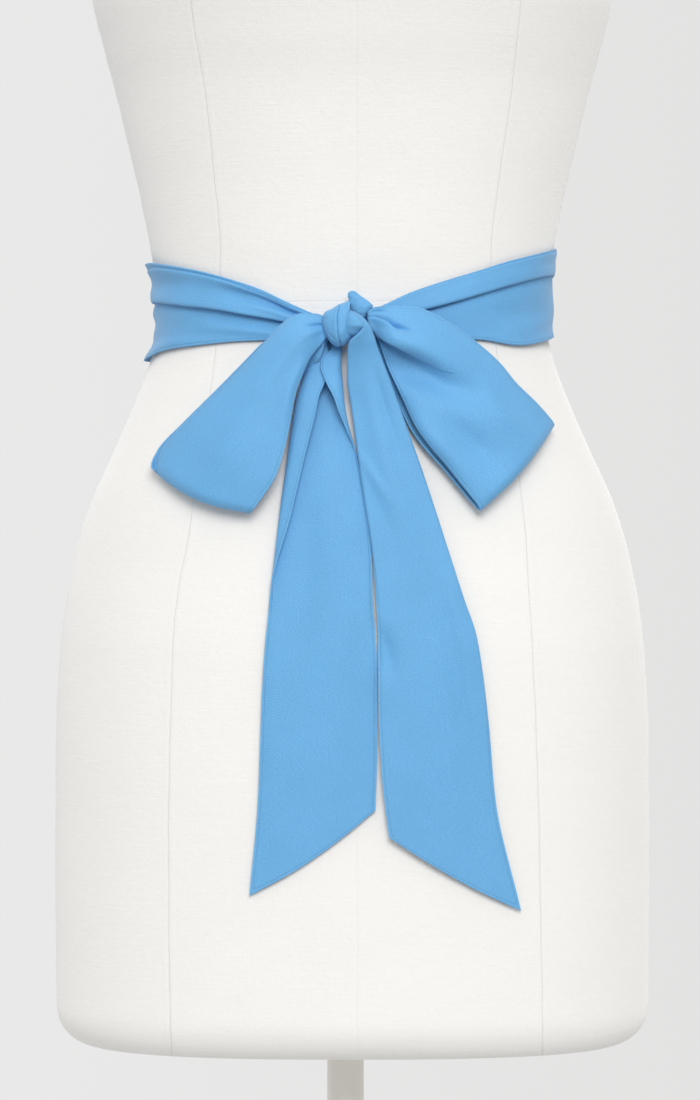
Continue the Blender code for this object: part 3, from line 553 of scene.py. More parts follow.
def row_at(rows, key):
    """The row of a table at a key, on curves through its rows that never overshoot them."""
    table = np.array(rows, dtype=float)
    keys = table[:, 0]
    key = min(max(key, keys[0]), keys[-1])
    slopes = np.diff(table, axis=0) / np.diff(keys)[:, None]
    tangents = np.zeros_like(table)
    same_way = slopes[:-1] * slopes[1:] > 0
    with np.errstate(divide="ignore", invalid="ignore"):
        mean = 2 * slopes[:-1] * slopes[1:] / (slopes[:-1] + slopes[1:])
    tangents[1:-1] = np.where(same_way, mean, 0)
    tangents[0] = slopes[0]
    tangents[-1] = slopes[-1]
    i = min(int(np.searchsorted(keys, key, side="right")) - 1, len(keys) - 2)
    span = keys[i + 1] - keys[i]
    t = (key - keys[i]) / span
    start = (1 + 2 * t) * (1 - t) ** 2 * table[i] + t * (1 - t) ** 2 * span * tangents[i]
    end = t * t * (3 - 2 * t) * table[i + 1] + t * t * (t - 1) * span * tangents[i + 1]
    return type(rows[0])(*(start + end))


def form_radius(angle, z):
    """How far the form reaches from its middle in one direction, at a height."""
    row = row_at(FORM, z)
    side = abs(math.sin(math.radians(angle)))
    ahead = math.cos(math.radians(angle))
    depth = row.front if ahead > 0 else row.back
    power = row.squareness
    return ((side / row.half_width) ** power + (abs(ahead) / depth) ** power) ** (-1 / power)


def form_front(x, z):
    """The y of the form's front surface at x and z."""
    row = row_at(FORM, z)
    power = row.squareness
    return -row.front * (1 - abs(x / row.half_width) ** power) ** (1 / power)


def crease_height(creases, along, across):
    """How far the soft creases raise or sink the cloth at a place on it."""
    height = 0.0
    for crease in creases:
        if not crease.along_0 <= along <= crease.along_2:
            continue
        if along < crease.along_1:
            t = (along - crease.along_0) / (crease.along_1 - crease.along_0)
            centre = crease.across_0 + t * (crease.across_1 - crease.across_0)
        else:
            t = (crease.along_2 - along) / (crease.along_2 - crease.along_1)
            centre = crease.across_2 + t * (crease.across_1 - crease.across_2)
        strength = math.sin(0.5 * math.pi * t) ** 2
        height += crease.height * strength * math.exp(-(((across - centre) / crease.width) ** 2))
    return height


def tucked_places(tucks, along, width, counts):
    """Places across a sheet as (share, shift, lift), crowded together on both sides of each tuck.

    Over each tuck's line one lip stands out and slips over the other, which sinks.
    """
    at = [row_at(each.rows, along) for each in tucks]
    cuts = [0.0] + [row.across for row in at] + [1.0]
    places = []
    for k, count in enumerate(counts):
        for i in range(count + 1):
            t = i / count
            t = EVEN * t + 0.5 * (1 - EVEN) * (1 - math.cos(math.pi * t))
            share = cuts[k] + t * (cuts[k + 1] - cuts[k])
            shift = lift = 0.0
            for side, (each, row) in enumerate(zip(tucks, at)):
                beyond = k > side
                away = abs(share - row.across) * width
                if each.upper_over != beyond:
                    lift += row.lift * math.exp(-((away / row.spread) ** 2))
                    lift -= min(LIP_CURL, 0.5 * row.lift) * math.exp(-away / 0.5)
                else:
                    lift -= row.sink * math.exp(-((away / (0.6 * row.spread)) ** 2))
                    slip = 2 * row.overlap * math.exp(-away / (0.45 * row.spread))
                    shift += -slip if beyond else slip
            places.append((share, shift, lift))
    return places


def ripple(x, z, seed, amount=0.35):
    """The slight unevenness of cloth that hangs free."""
    broad = noise.noise(Vector((x / 24.0, z / 34.0, seed)))
    fine = noise.noise(Vector((x / 9.0, z / 13.0, seed + 7.3)))
    return amount * (broad + 0.3 * fine)


def placed(point):
    x, y, z = point
    return ((x + BODY_SIDEWAYS) * MM, y * MM, (z + WAIST_HEIGHT) * MM)


def steps(start, end, spacing):
    count = max(1, round(abs(end - start) / spacing))
    return [start + (end - start) * i / count for i in range(count + 1)]


# --------------------------------------
# Cloth pieces


def finish_mesh(name, mesh, finish):
    piece = bpy.data.objects.new(name, mesh)
    bpy.context.scene.collection.objects.link(piece)
    mesh.materials.append(finish)
    return piece


def sheet_lengths(rows):
    """Each point's place in the flat cloth, in mm: down the strip and across it."""
    grid = np.array(rows, dtype=float)
    across = np.linalg.norm(np.diff(grid, axis=1), axis=2)
    across = np.concatenate([np.zeros((len(grid), 1)), np.cumsum(across, axis=1)], axis=1)
    shares = across / across[:, -1:]
    along = np.linalg.norm(np.diff(grid, axis=0), axis=2)
    along = np.concatenate([[0.0], np.cumsum(np.median(along, axis=1))])
    return along, shares


def cloth_sheet(name, grids, thickness, closed=False, sewn_end=False, width=CLOTH_WIDTH):
    """A thin shell of crepe through grids of points, with its flat lay in a UV map."""
    sheet = bmesh.new()
    lay = sheet.loops.layers.uv.new("cloth")
    seam = sheet.verts.layers.float.new("seam")
    for rows in grids:
        add_grid(sheet, rows, lay, seam, closed, sewn_end and rows is grids[0], width)
    bmesh.ops.remove_doubles(sheet, verts=sheet.verts, dist=0.00001)
    mesh = bpy.data.meshes.new(name)
    sheet.to_mesh(mesh)
    sheet.free()
    piece = finish_mesh(name, mesh, crepe())
    give_thickness(piece, thickness)
    return piece


def add_grid(sheet, rows, lay, seam, closed, sewn_end, width):
    """Faces over one grid. Each point holds how far it is from the nearest sewn edge."""
    along, shares = sheet_lengths(rows)
    grid = []
    for i, row in enumerate(rows):
        line = []
        for j, point in enumerate(row):
            vert = sheet.verts.new(placed(point))
            edge = width * min(shares[i][j], 1 - shares[i][j])
            if sewn_end:
                edge = min(edge, along[-1] - along[i])
            vert[seam] = edge
            line.append(vert)
        grid.append(line)
    count = len(rows)
    for i in range(count if closed else count - 1):
        k = (i + 1) % count
        for j in range(len(rows[0]) - 1):
            face = sheet.faces.new((grid[i][j], grid[k][j], grid[k][j + 1], grid[i][j + 1]))
            face.smooth = True
            places = ((i, j), (i + 1, j), (i + 1, j + 1), (i, j + 1))
            for loop, (a, b) in zip(face.loops, places):
                down = along[a] if a < count else along[-1] + along[1]
                loop[lay].uv = (down, width * shares[a % count][b])


def deselect_all():
    for other in bpy.context.selected_objects:
        other.select_set(False)


def give_thickness(piece, thickness):
    deselect_all()
    bpy.context.view_layer.objects.active = piece
    piece.select_set(True)
    wall = piece.modifiers.new("layers", "SOLIDIFY")
    wall.thickness = thickness
    wall.offset = 0.0
    wall.use_even_offset = False
    bpy.ops.object.modifier_apply(modifier=wall.name)
    piece.select_set(False)


def waist_rows():
    """Rows down the band, all round the waist from behind the knot and back to it."""
    knot_angle = -4.0
    gap = 0.35
    spacing = 2.6
    top_reach, bottom_reach = 0.10, 0.12
    rows = []
    for turn in steps(gap, 360.0 - gap, spacing):
        angle = knot_angle + turn
        around = (angle + 180.0) % 360.0 - 180.0
        edge = row_at(WAIST, around)
        width = edge.top - edge.bottom
        turned = math.radians(angle)
        row = []
        for share, shift, raised in tucked_places(WAIST_TUCKS, around, width, (4, 18, 22)):
            z = edge.top - share * width - shift
            lift = edge.lift + raised + crease_height(WAIST_CREASES, around, share)
            lift += edge.top_lip * math.exp(-((share / top_reach) ** 2))
            lift += edge.bottom_lip * math.exp(-(((1 - share) / bottom_reach) ** 2))
            lift += ripple(around, z, 3.1, 0.3)
            reach = form_radius(angle, z) + max(lift, BAND_NEAREST)
            row.append((reach * math.sin(turned), -reach * math.cos(turned), z))
        rows.append(row)
    return rows


def loop_path():
    """Places along a loop as (share, side): out in front, round its end and back behind."""
    straight = steps(0.0, 1 - LOOP_TURN, 0.014)
    out = [(share, 1.0) for share in straight]
    turned = []
    turn_steps = 12
    for i in range(1, turn_steps):
        angle = math.pi * i / turn_steps
        turned.append((1 - LOOP_TURN + LOOP_TURN * math.sin(angle), math.cos(angle)))
    return out + turned + [(share, -1.0) for share in straight[::-1]]


def loop_rows(table, tucks, creases, counts, seed, closing=0.0):
    """Rows across a loop, down its front layer and back up its rear one."""
    rows = []
    for share, side in loop_path():
        at = row_at(table, share)
        wide = (at.lower_x - at.upper_x, at.lower_z - at.upper_z)
        width = math.hypot(*wide)
        front = 0.5 * (1 + side)
        row = []
        for place, shift, raised in tucked_places(tucks, share, width, counts):
            stands_back = at.mouth * math.exp(-place * width / MOUTH_REACH)
            across = place + ((shift + stands_back) * front + at.peek * (1 - front)) / width
            out = at.belly / width * math.sin(math.pi * place)
            x = at.upper_x + across * wide[0] + out * math.copysign(wide[1], at.upper_x)
            z = at.upper_z + across * wide[1] - out * abs(wide[0])
            rise = at.arch * math.sin(math.pi * place) + crease_height(creases, share, place)
            rise += raised + ripple(x, z, seed)
            sunk = at.droop * place**2 - ripple(x, z, seed + 2.9)
            apart = at.hollow * (1 - closing * min(1.0, CLOSING_PACE * share) ** 3 * place**6)
            curl = CURL * at.mouth * math.exp(-place * width / CURL_REACH)
            lift = at.lift + side * apart + rise * front + (curl - sunk) * (1 - front)
            row.append((x, form_front(x, z) - lift, z))
        rows.append(row)
    return rows


def folded_section(row, width, left_radius, right_radius):
    """Points across a strip whose edges are folded over, as (share across, height) pairs."""
    least_bend = 1.5
    least_fold = 0.6
    fine = 4
    fold_points, bend_points, middle_points = 7, 8, 24
    left_turn = math.radians(row.left_turn)
    right_turn = math.radians(row.right_turn)
    left_bend = max(left_radius * abs(left_turn), least_bend)
    right_bend = max(right_radius * abs(right_turn), least_bend)
    left_fold = max(row.left_fold - left_radius, least_fold)
    right_fold = max(row.right_fold - right_radius, least_fold)
    middle = max(width - left_radius - right_radius, least_bend)
    # Each stretch: its length, its points, and the heading at its start and end
    stretches = (
        (left_fold, fold_points, -left_turn, -left_turn),
        (left_bend, bend_points, -left_turn, 0.0),
        (middle, middle_points, 0.0, 0.0),
        (right_bend, bend_points, 0.0, right_turn),
        (right_fold, fold_points, right_turn, right_turn),
    )
    x = height = 0.0
    points = [(x, height)]
    for length, count, start, end in stretches:
        parts = count * fine
        for i in range(parts):
            heading = start + (end - start) * (i + 0.5) / parts
            x += length / parts * math.cos(heading)
            height += length / parts * math.sin(heading)
            if (i + 1) % fine == 0:
                points.append((x, height))
    _, ground = points[fold_points + bend_points]
    least = min(x for x, _ in points)
    most = max(x for x, _ in points)
    return [((x - least) / (most - least), height - ground) for x, height in points]


def tail_rows(table, creases, seed, shares, fullness=0.0):
    """Rows across a tail, from the knot down."""
    rows = []
    for share in shares:
        at = row_at(table, share)
        wide = (at.right_x - at.left_x, at.right_z - at.left_z)
        hang = min(1.0, 4 * share)
        row = []
        left_bend, right_bend = LEFT_BEND, RIGHT_BEND
        for swell in SWELLS:
            full = fullness * math.exp(-(((share - swell.share) / swell.reach) ** 2))
            left_bend += swell.left * full
            right_bend += swell.right * full
        for across, height in folded_section(at, math.hypot(*wide), left_bend, right_bend):
            x = at.left_x + across * wide[0]
            z = at.left_z + across * wide[1] - at.belly * math.sin(math.pi * across)
            lift = at.left_lift + across * (at.right_lift - at.left_lift) + height
            lift += crease_height(creases, share, across) + hang * ripple(x, z, seed)
            row.append((x, form_front(x, z) - max(lift, TAIL_NEAREST), z))
        rows.append(row)
    return rows


def section_point(section, turn, squareness):
    """A point on a rounded section: its y, and its place between the section's ends."""
    deep, wide = (
        math.copysign(abs(value) ** (2 / squareness), value)
        for value in (math.cos(turn), math.sin(turn))
    )
    y = 0.5 * (section.rear * (1 + deep) + section.front * (1 - deep))
    return y, 0.5 * (section.to * (1 + wide) + section.from_ * (1 - wide))


def wrap_rows():
    """Rows of the wrap, each from its left edge to its right one."""
    last = WRAP[-1].x
    least_radius = 2.5
    rows = []
    for around in range(0, 360, 3):
        reach = (row_at(WRAP_EDGE, around).x - WRAP_MIDDLE.x) / (last - WRAP_MIDDLE.x)
        row = []
        for share, shift, raised in tucked_places(WRAP_TUCKS, around, WRAP_WIDTH, (18, 18)):
            at = row_at(WRAP, share + shift / WRAP_WIDTH)
            section = Section(at.x, at.low, at.high, at.front, at.rear)
            y, z = section_point(section, math.radians(90.0 + around), WRAP_SQUARENESS)
            out = raised + crease_height(WRAP_CREASES, share, around / 360.0)
            away = max(math.hypot(y - WRAP_MIDDLE.y, z - WRAP_MIDDLE.z), least_radius)
            y += out * (y - WRAP_MIDDLE.y) / away
            z += out * (z - WRAP_MIDDLE.z) / away
            x = at.x
            if x > WRAP_MIDDLE.x:
                x = WRAP_MIDDLE.x + (x - WRAP_MIDDLE.x) * reach
            row.append((x, y, z))
        rows.append(row)
    return rows


def peak_rows():
    """Rows of the peak, each from its top down, all the way round it."""
    turns = 40
    rows = []
    for step in range(turns):
        turn = 2 * math.pi * step / turns
        row = []
        for share in steps(0, len(KNOT_PEAK) - 1, 0.25):
            i = min(int(share), len(KNOT_PEAK) - 2)
            t = share - i
            section = Section(*(np.array(KNOT_PEAK[i]) * (1 - t) + np.array(KNOT_PEAK[i + 1]) * t))
            y, x = section_point(section, -turn, PEAK_SQUARENESS)
            row.append((x, y, section.at))
        rows.append(row)
    return rows


def tail_shares():
    """Shares of a tail's rows, close together at the knot."""
    near_knot, close, apart = 0.079, 0.002, 0.006
    shares = [0.0]
    while shares[-1] < 1.0 - 0.0005:
        shares.append(round(shares[-1] + (close if shares[-1] < near_knot else apart), 4))
    return shares


def lobe_rows(tail, shares):
    """The cloth that comes out of the wrap. Down to the tip it joins the tail's left edge."""
    rows = []
    for share, beside in zip(shares, tail):
        if share > LOBE[-1].share:
            break
        at = row_at(LOBE, share)
        end = beside[0] if share <= TIP else (at.right_x, at.right_y, at.right_z)
        start = (at.left_x, at.left_y, at.left_z)
        row = []
        for across in steps(0.0, 1.0, 0.07):
            x, y, z = (a + across * (b - a) for a, b in zip(start, end))
            row.append((x, y + 4 * across * (1 - across) * at.bow, z))
        rows.append(row)
    return rows


# --------------------------------------
# The dress form


def body_heights():
    """Heights of the body's rings, and how far a rounded rim draws each one in."""
    rings = []
    for step in range(9):
        turn = 0.5 * math.pi * step / 8
        drawn_in = BODY_EDGE_RADIUS * (1 - math.sin(turn))
        rings.append((BODY_BOTTOM + BODY_EDGE_RADIUS * (1 - math.cos(turn)), drawn_in))
    for z in steps(BODY_BOTTOM + BODY_EDGE_RADIUS, NECK_TOP - NECK_EDGE_RADIUS, 5.0)[1:]:
        rings.append((z, 0.0))
    for step in range(1, 7):
        turn = 0.5 * math.pi * step / 6
        drawn_in = NECK_EDGE_RADIUS * (1 - math.cos(turn))
        rings.append((NECK_TOP - NECK_EDGE_RADIUS * (1 - math.sin(turn)), drawn_in))
    return rings


def cover_unevenness(angle, z):
    """The linen lies a little unevenly on the form, and puckers along its side seams."""
    turn = math.radians(angle)
    spot = Vector((3.4 * math.cos(turn), 3.4 * math.sin(turn), z / 32.0))
    sunk = 0.25 * (noise.noise(spot) - 1.0)
    on_right = angle < 180
    pucker = noise.noise(Vector((0.0, 5.0 if on_right else 9.0, z / 7.0)))
    from_seam = min(abs(angle - 90.0), abs(angle - 270.0))
    # Flat under the waist band, and most puckered just below it on the right
    strength = 0.0 if -30.0 <= z <= 45.0 else 1.3 if on_right and -88.0 < z < -30.0 else 0.455
    return sunk + strength * pucker * math.exp(-((from_seam / 7.0) ** 2))


def linen_body(finish, sides=168):
    body = bmesh.new()
    rings = []
    for z, drawn_in in body_heights():
        ring = []
        for side in range(sides):
            angle = 360.0 * side / sides
            reach = form_radius(angle, z) - drawn_in + cover_unevenness(angle, z)
            turn = math.radians(angle)
            point = (reach * math.sin(turn), -reach * math.cos(turn), z)
            ring.append(body.verts.new(placed(point)))
        rings.append(ring)
    for low, high in zip(rings, rings[1:]):
        for i in range(sides):
            k = (i + 1) % sides
            body.faces.new((low[i], low[k], high[k], high[i])).smooth = True
    body.faces.new(rings[0][::-1])
    body.faces.new(rings[-1])
    bmesh.ops.recalc_face_normals(body, faces=body.faces)
    mesh = bpy.data.meshes.new("linen_body")
    body.to_mesh(mesh)
    body.free()
    return finish_mesh("linen_body", mesh, finish)


def turned_piece(name, profile, finish, sides=96):
    """A round piece drawn up from a disc: each step of the profile is (radius, height) in mm."""
    deselect_all()
    radius, height = profile[0]
    bpy.ops.mesh.primitive_circle_add(
        vertices=sides, radius=radius * MM, fill_type="NGON", location=(0, 0, height * MM)
    )
    piece = bpy.context.active_object
    piece.name = name
    bpy.ops.object.mode_set(mode="EDIT")
    for next_radius, next_height in profile[1:]:
        bpy.ops.mesh.extrude_region_move(
            TRANSFORM_OT_translate={"value": (0, 0, (next_height - height) * MM)}
        )
        ratio = next_radius / radius
        bpy.ops.transform.resize(value=(ratio, ratio, 1.0))
        radius, height = next_radius, next_height
    bpy.ops.mesh.select_all(action="SELECT")
    bpy.ops.mesh.normals_make_consistent(inside=False)
    bpy.ops.object.mode_set(mode="OBJECT")
    bpy.ops.object.transform_apply(location=True, rotation=True, scale=True)
    bpy.ops.object.shade_smooth_by_angle(angle=math.radians(35.0))
    piece.data.materials.append(finish)
    piece.select_set(False)
    return piece


# --------------------------------------
# Materials


def new_node(tree, kind, inputs=None, **settings):
    """A node with its settings, and with a number or a link in each of the inputs."""
    made = tree.nodes.new(kind)
    for name, value in settings.items():
        setattr(made, name, value)
    fill_inputs(tree, made, inputs or {})
    return made


def fill_inputs(tree, node, inputs):
    for slot, value in inputs.items():
        if isinstance(value, bpy.types.NodeSocket):
            tree.links.new(value, node.inputs[slot])
        else:
            node.inputs[slot].default_value = value


def maths(tree, operation, first, second=0.0):
    made = new_node(tree, "ShaderNodeMath", {0: first, 1: second}, operation=operation)
    return made.outputs[0]


def smooth_range(tree, value, *ends):
    """A value eased from one range into another: the low and high of each, or 0 and 1."""
    names = ("From Min", "From Max", "To Min", "To Max")
    inputs = {"Value": value, **dict(zip(names, ends))}
    made = new_node(tree, "ShaderNodeMapRange", inputs, interpolation_type="SMOOTHSTEP")
    return made.outputs["Result"]


def stretched(tree, vector, scale):
    made = new_node(tree, "ShaderNodeMapping", {"Vector": vector, "Scale": scale})
    return made.outputs["Vector"]


def object_place(tree):
    return new_node(tree, "ShaderNodeTexCoord").outputs["Object"]


def object_mm(tree):
    return stretched(tree, object_place(tree), (1 / MM, 1 / MM, 1 / MM))


def noise_of(tree, vector, scale, detail=2.0, roughness=0.5):
    """Noise on both sides of zero."""
    inputs = {"Vector": vector, "Scale": scale, "Detail": detail, "Roughness": roughness}
    made = new_node(tree, "ShaderNodeTexNoise", inputs)
    return maths(tree, "SUBTRACT", made.outputs["Fac"], 0.5)


def line_mask(tree, distance, reach):
    """One on a line and nothing beyond its reach, from the distance to it."""
    return smooth_range(tree, maths(tree, "ABSOLUTE", distance), 0.0, reach, 1.0, 0.0)


def weighted(tree, *terms):
    total = None
    for value, weight in terms:
        part = maths(tree, "MULTIPLY", value, weight)
        total = part if total is None else maths(tree, "ADD", total, part)
    return total


def new_group(name, *inputs):
    """A node group that puts out a tone and a height, with its inputs and its output node."""
    group = bpy.data.node_groups.new(name, "ShaderNodeTree")
    for label, kind in inputs:
        group.interface.new_socket(name=label, in_out="INPUT", socket_type=kind)
    for label in ("Tone", "Height"):
        group.interface.new_socket(name=label, in_out="OUTPUT", socket_type="NodeSocketFloat")
    return group, group.nodes.new("NodeGroupInput").outputs, group.nodes.new("NodeGroupOutput")


def crepe_grain():
    """Pebbled crepe, its faint crosswise ribs, its pressed seam and a painted highlight along its
    sewn edges, from the cloth's flat lay.
    """
    group, given, made = new_group(
        "crepe_grain", ("Lay", "NodeSocketVector"), ("Seam", "NodeSocketFloat")
    )
    lay = given["Lay"]
    pebble = noise_of(group, stretched(group, lay, (1.5, 0.8, 1.0)), 0.9, 2.0, 0.6)
    speck = noise_of(group, stretched(group, lay, (2.2, 1.8, 1.0)), 1.3, 1.0)
    cloud = noise_of(group, lay, 0.045)
    waves = {"Vector": lay, "Scale": 0.22, "Distortion": 1.6, "Detail": 1.0, "Detail Scale": 0.3}
    ribs = new_node(group, "ShaderNodeTexWave", waves, wave_type="BANDS", bands_direction="X")
    rib = maths(group, "SUBTRACT", ribs.outputs["Fac"], 0.5)
    line = line_mask(group, maths(group, "SUBTRACT", given["Seam"], SEAM_REACH), 0.55)
    # A painted highlight: the crepe's colour is lightened within a millimetre of its sewn edges, as
    # if light caught them
    edge = line_mask(group, given["Seam"], 0.9)
    tones = ((pebble, 0.50), (speck, 0.45), (cloud, 0.12), (rib, 0.05), (line, -0.10), (edge, 0.10))
    heights = ((pebble, 0.14), (speck, 0.08), (rib, 0.02), (line, -0.16))
    give_weave(group, made, tones, heights)
    return group


def linen_weave():
    """Slubby linen stretched over the form: level and upright threads, from a place in mm."""
    group, given, made = new_group("linen_weave", ("Place", "NodeSocketVector"))
    place = given["Place"]
    level = noise_of(group, stretched(group, place, (0.14, 0.14, 2.0)), 0.9)
    upright = noise_of(group, stretched(group, place, (2.0, 2.0, 0.14)), 0.9)
    slub = noise_of(group, stretched(group, place, (0.03, 0.03, 0.7)), 1.0, 1.0)
    cloud = noise_of(group, place, 0.02, 3.0)
    nub = noise_of(group, place, 0.25, 3.0, 0.7)
    tones = ((level, 0.02), (upright, 0.02), (slub, 0.01), (cloud, 0.03), (nub, 0.03))
    heights = ((level, 0.09), (upright, 0.10), (slub, 0.07), (nub, 0.24))
    give_weave(group, made, tones, heights)
    return group


def give_weave(group, made, tones, heights):
    """Puts out a tone round one and a height in mm."""
    tone = maths(group, "ADD", weighted(group, *tones), 1.0)
    fill_inputs(group, made, {"Tone": tone, "Height": weighted(group, *heights)})


def principled(name, inputs):
    """A new material with numbers on its shader's own inputs."""
    finish = bpy.data.materials.new(name)
    finish.use_nodes = True
    tree = finish.node_tree
    shader = tree.nodes["Principled BSDF"]
    fill_inputs(tree, shader, inputs)
    return finish, tree, shader


def use_tone(tree, shader, colour, tone, height):
    """Tints a colour by a tone and gives the surface a height in mm."""
    tint = {0: colour[:3], "Scale": tone}
    tinted = new_node(tree, "ShaderNodeVectorMath", tint, operation="SCALE")
    relief = {"Strength": 1.0, "Distance": MM, "Height": height}
    bump = new_node(tree, "ShaderNodeBump", relief)
    surface = {"Base Color": tinted.outputs["Vector"], "Normal": bump.outputs["Normal"]}
    fill_inputs(tree, shader, surface)


def crepe():
    """The sash's finish, made once."""
    found = bpy.data.materials.get("blue_crepe")
    if found:
        return found
    settings = bpy.context.scene.sash_settings
    gloss = {"Roughness": 0.72, "Sheen Weight": settings.sheen, "Sheen Roughness": 0.45}
    finish, tree, shader = principled("blue_crepe", {**gloss, "Specular IOR Level": 0.75})
    lay = new_node(tree, "ShaderNodeUVMap", uv_map="cloth").outputs["UV"]
    seam = new_node(tree, "ShaderNodeAttribute", attribute_name="seam").outputs["Fac"]
    inputs = {"Lay": lay, "Seam": seam}
    grain = new_node(tree, "ShaderNodeGroup", inputs, node_tree=crepe_grain()).outputs
    use_tone(tree, shader, settings.crepe, grain["Tone"], grain["Height"])
    return finish


# Where the form's princess seams run: height, and x of the left and the right one, in mm
SeamRow = namedtuple("SeamRow", "z left right")
PRINCESS = rows_of(
    SeamRow,
    (-442, -100.5, 114.2),
    (-208, -99.4, 108.0),
    (-177, -97.1, 106.1),
    (-131, -89.0, 103.3),
    (20, -73.0, 84.9),
    (72, -76.4, 90.0),
    (123, -82.2, 97.0),
    (168, -89.0, 100.4),
    (300, -98.0, 104.0),
    (446, -60.0, 62.0),
)
SEAM_SPAN = 130.0  # the curve below holds a seam's x as a share of this
FRONT_SEAM = 6.8
WAIST_SEAM_DROP = 4.5


def seam_curve(tree, height_share, side):
    """The x of a princess seam in mm, from the height as a share of the form's."""
    curve = new_node(tree, "ShaderNodeFloatCurve", {"Value": height_share})
    points = curve.mapping.curves[0].points
    low, high = PRINCESS[0].z, PRINCESS[-1].z
    for i, row in enumerate(PRINCESS):
        x = 0.5 + 0.5 * getattr(row, side) / SEAM_SPAN
        spot = ((row.z - low) / (high - low), x)
        if 0 < i < len(PRINCESS) - 1:
            points.new(*spot)
        else:
            points[0 if i == 0 else len(points) - 1].location = spot
    curve.mapping.update()
    from_middle = maths(tree, "SUBTRACT", curve.outputs["Value"], 0.5)
    return maths(tree, "MULTIPLY", from_middle, 2 * SEAM_SPAN)


def linen_material(settings):
    """Linen with the form's seams: each a fine groove between two low welts."""
    gloss = {"Roughness": 0.88, "Sheen Weight": 0.7, "Sheen Roughness": 0.6}
    finish, tree, shader = principled("form_linen", {**gloss, "Specular IOR Level": 0.25})
    in_mm = object_mm(tree)
    weave = new_node(tree, "ShaderNodeGroup", {"Place": in_mm}, node_tree=linen_weave()).outputs
    x, _, z = new_node(tree, "ShaderNodeSeparateXYZ", {0: in_mm}).outputs
    low, high = PRINCESS[0].z + WAIST_HEIGHT, PRINCESS[-1].z + WAIST_HEIGHT
    share = maths(tree, "DIVIDE", maths(tree, "SUBTRACT", z, low), high - low)
    wander = maths(tree, "MULTIPLY", noise_of(tree, in_mm, 0.03), 1.6)
    seams = (
        (x, seam_curve(tree, share, "left"), 1.0),
        (x, seam_curve(tree, share, "right"), 1.0),
        (x, FRONT_SEAM, 0.4),
        (z, WAIST_HEIGHT - WAIST_SEAM_DROP, 0.35),
    )
    groove = welt = 0.0
    for place, seam, depth in seams:
        strayed = maths(tree, "ADD", maths(tree, "SUBTRACT", place, seam), wander)
        cut = maths(tree, "MULTIPLY", line_mask(tree, strayed, 0.6), depth)
        away = maths(tree, "SUBTRACT", maths(tree, "ABSOLUTE", strayed), 2.2)
        beside = maths(tree, "MULTIPLY", line_mask(tree, away, 2.4), depth)
        groove = maths(tree, "MAXIMUM", groove, cut)
        welt = maths(tree, "MAXIMUM", welt, beside)
    tone = weighted(tree, (weave["Tone"], 1.0), (groove, -0.06))
    height = weighted(tree, (weave["Height"], 1.0), (groove, -0.22), (welt, 0.10))
    use_tone(tree, shader, settings.linen, tone, height)
    return finish


def enamel_material(settings):
    """White paint with a slight orange peel."""
    finish, tree, shader = principled("pole_enamel", {"Roughness": 0.42})
    in_mm = object_mm(tree)
    peel = noise_of(tree, in_mm, 0.5)
    cloud = noise_of(tree, in_mm, 0.03, 3.0)
    tone = maths(tree, "ADD", weighted(tree, (cloud, 0.06), (peel, 0.02)), 1.0)
    use_tone(tree, shader, settings.enamel, tone, maths(tree, "MULTIPLY", peel, 0.05))
    return finish


def floor_material(settings):
    finish, tree, shader = principled("pale_floor", {"Roughness": 0.9})
    cloud = noise_of(tree, object_place(tree), 1.5, 3.0)
    tone = maths(tree, "ADD", maths(tree, "MULTIPLY", cloud, 0.03), 1.0)
    use_tone(tree, shader, settings.floor, tone, maths(tree, "MULTIPLY", cloud, 0.02))
    return finish


# --------------------------------------
# Settings, operators and panel

RGBA = {"size": 4, "min": 0.0, "max": 1.0}


class SashSettings(bpy.types.PropertyGroup):
    """Sizes and colours of the sash, its dress form and the studio."""

    thickness: bpy.props.FloatProperty(
        name="Cloth thickness",
        description="Both layers of crepe together",
        default=0.0008,
        min=0.0004,
        max=0.002,
        subtype="DISTANCE",
        unit="LENGTH",
    )
    sheen: bpy.props.FloatProperty(
        name="Sheen",
        description="Strength of the crepe's soft sheen",
        default=0.2,
        min=0.0,
        max=1.0,
        subtype="FACTOR",
    )
    crepe: bpy.props.FloatVectorProperty(
        name="Crepe",
        description="Colour of the sash",
        default=(0.106, 0.360, 0.670, 1.0),
        subtype="COLOR",
        **RGBA,
    )
    linen: bpy.props.FloatVectorProperty(
        name="Linen",
        description="Colour of the dress form's cover",
        default=(0.80, 0.795, 0.785, 1.0),
        subtype="COLOR",
        **RGBA,
    )
    enamel: bpy.props.FloatVectorProperty(
        name="Enamel",
        description="Colour of the pole and the base",
        default=(0.84, 0.815, 0.78, 1.0),
        subtype="COLOR",
        **RGBA,
    )
    floor: bpy.props.FloatVectorProperty(
        name="Floor",
        description="Colour of the studio floor",
        default=(0.66, 0.655, 0.645, 1.0),
        subtype="COLOR",
        **RGBA,
    )


def stand_for(piece, slot, *nodes):
    """Puts a piece on the root body in place of its nodes, which are hidden; the slot is not used.
    """
    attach(piece, "root")
    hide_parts(*nodes)


class SASH_OT_waist(bpy.types.Operator):
    """Lay the sash round the waist"""

    bl_idname = "sash.waist"
    bl_label = "Waist"

    def execute(self, context):
        settings = context.scene.sash_settings
        band = cloth_sheet("waist_band", [waist_rows()], settings.thickness)
        stand_for(band, "crepe", "sash_waist_left", "sash_waist_right", "sash_waist_back")
        return {"FINISHED"}


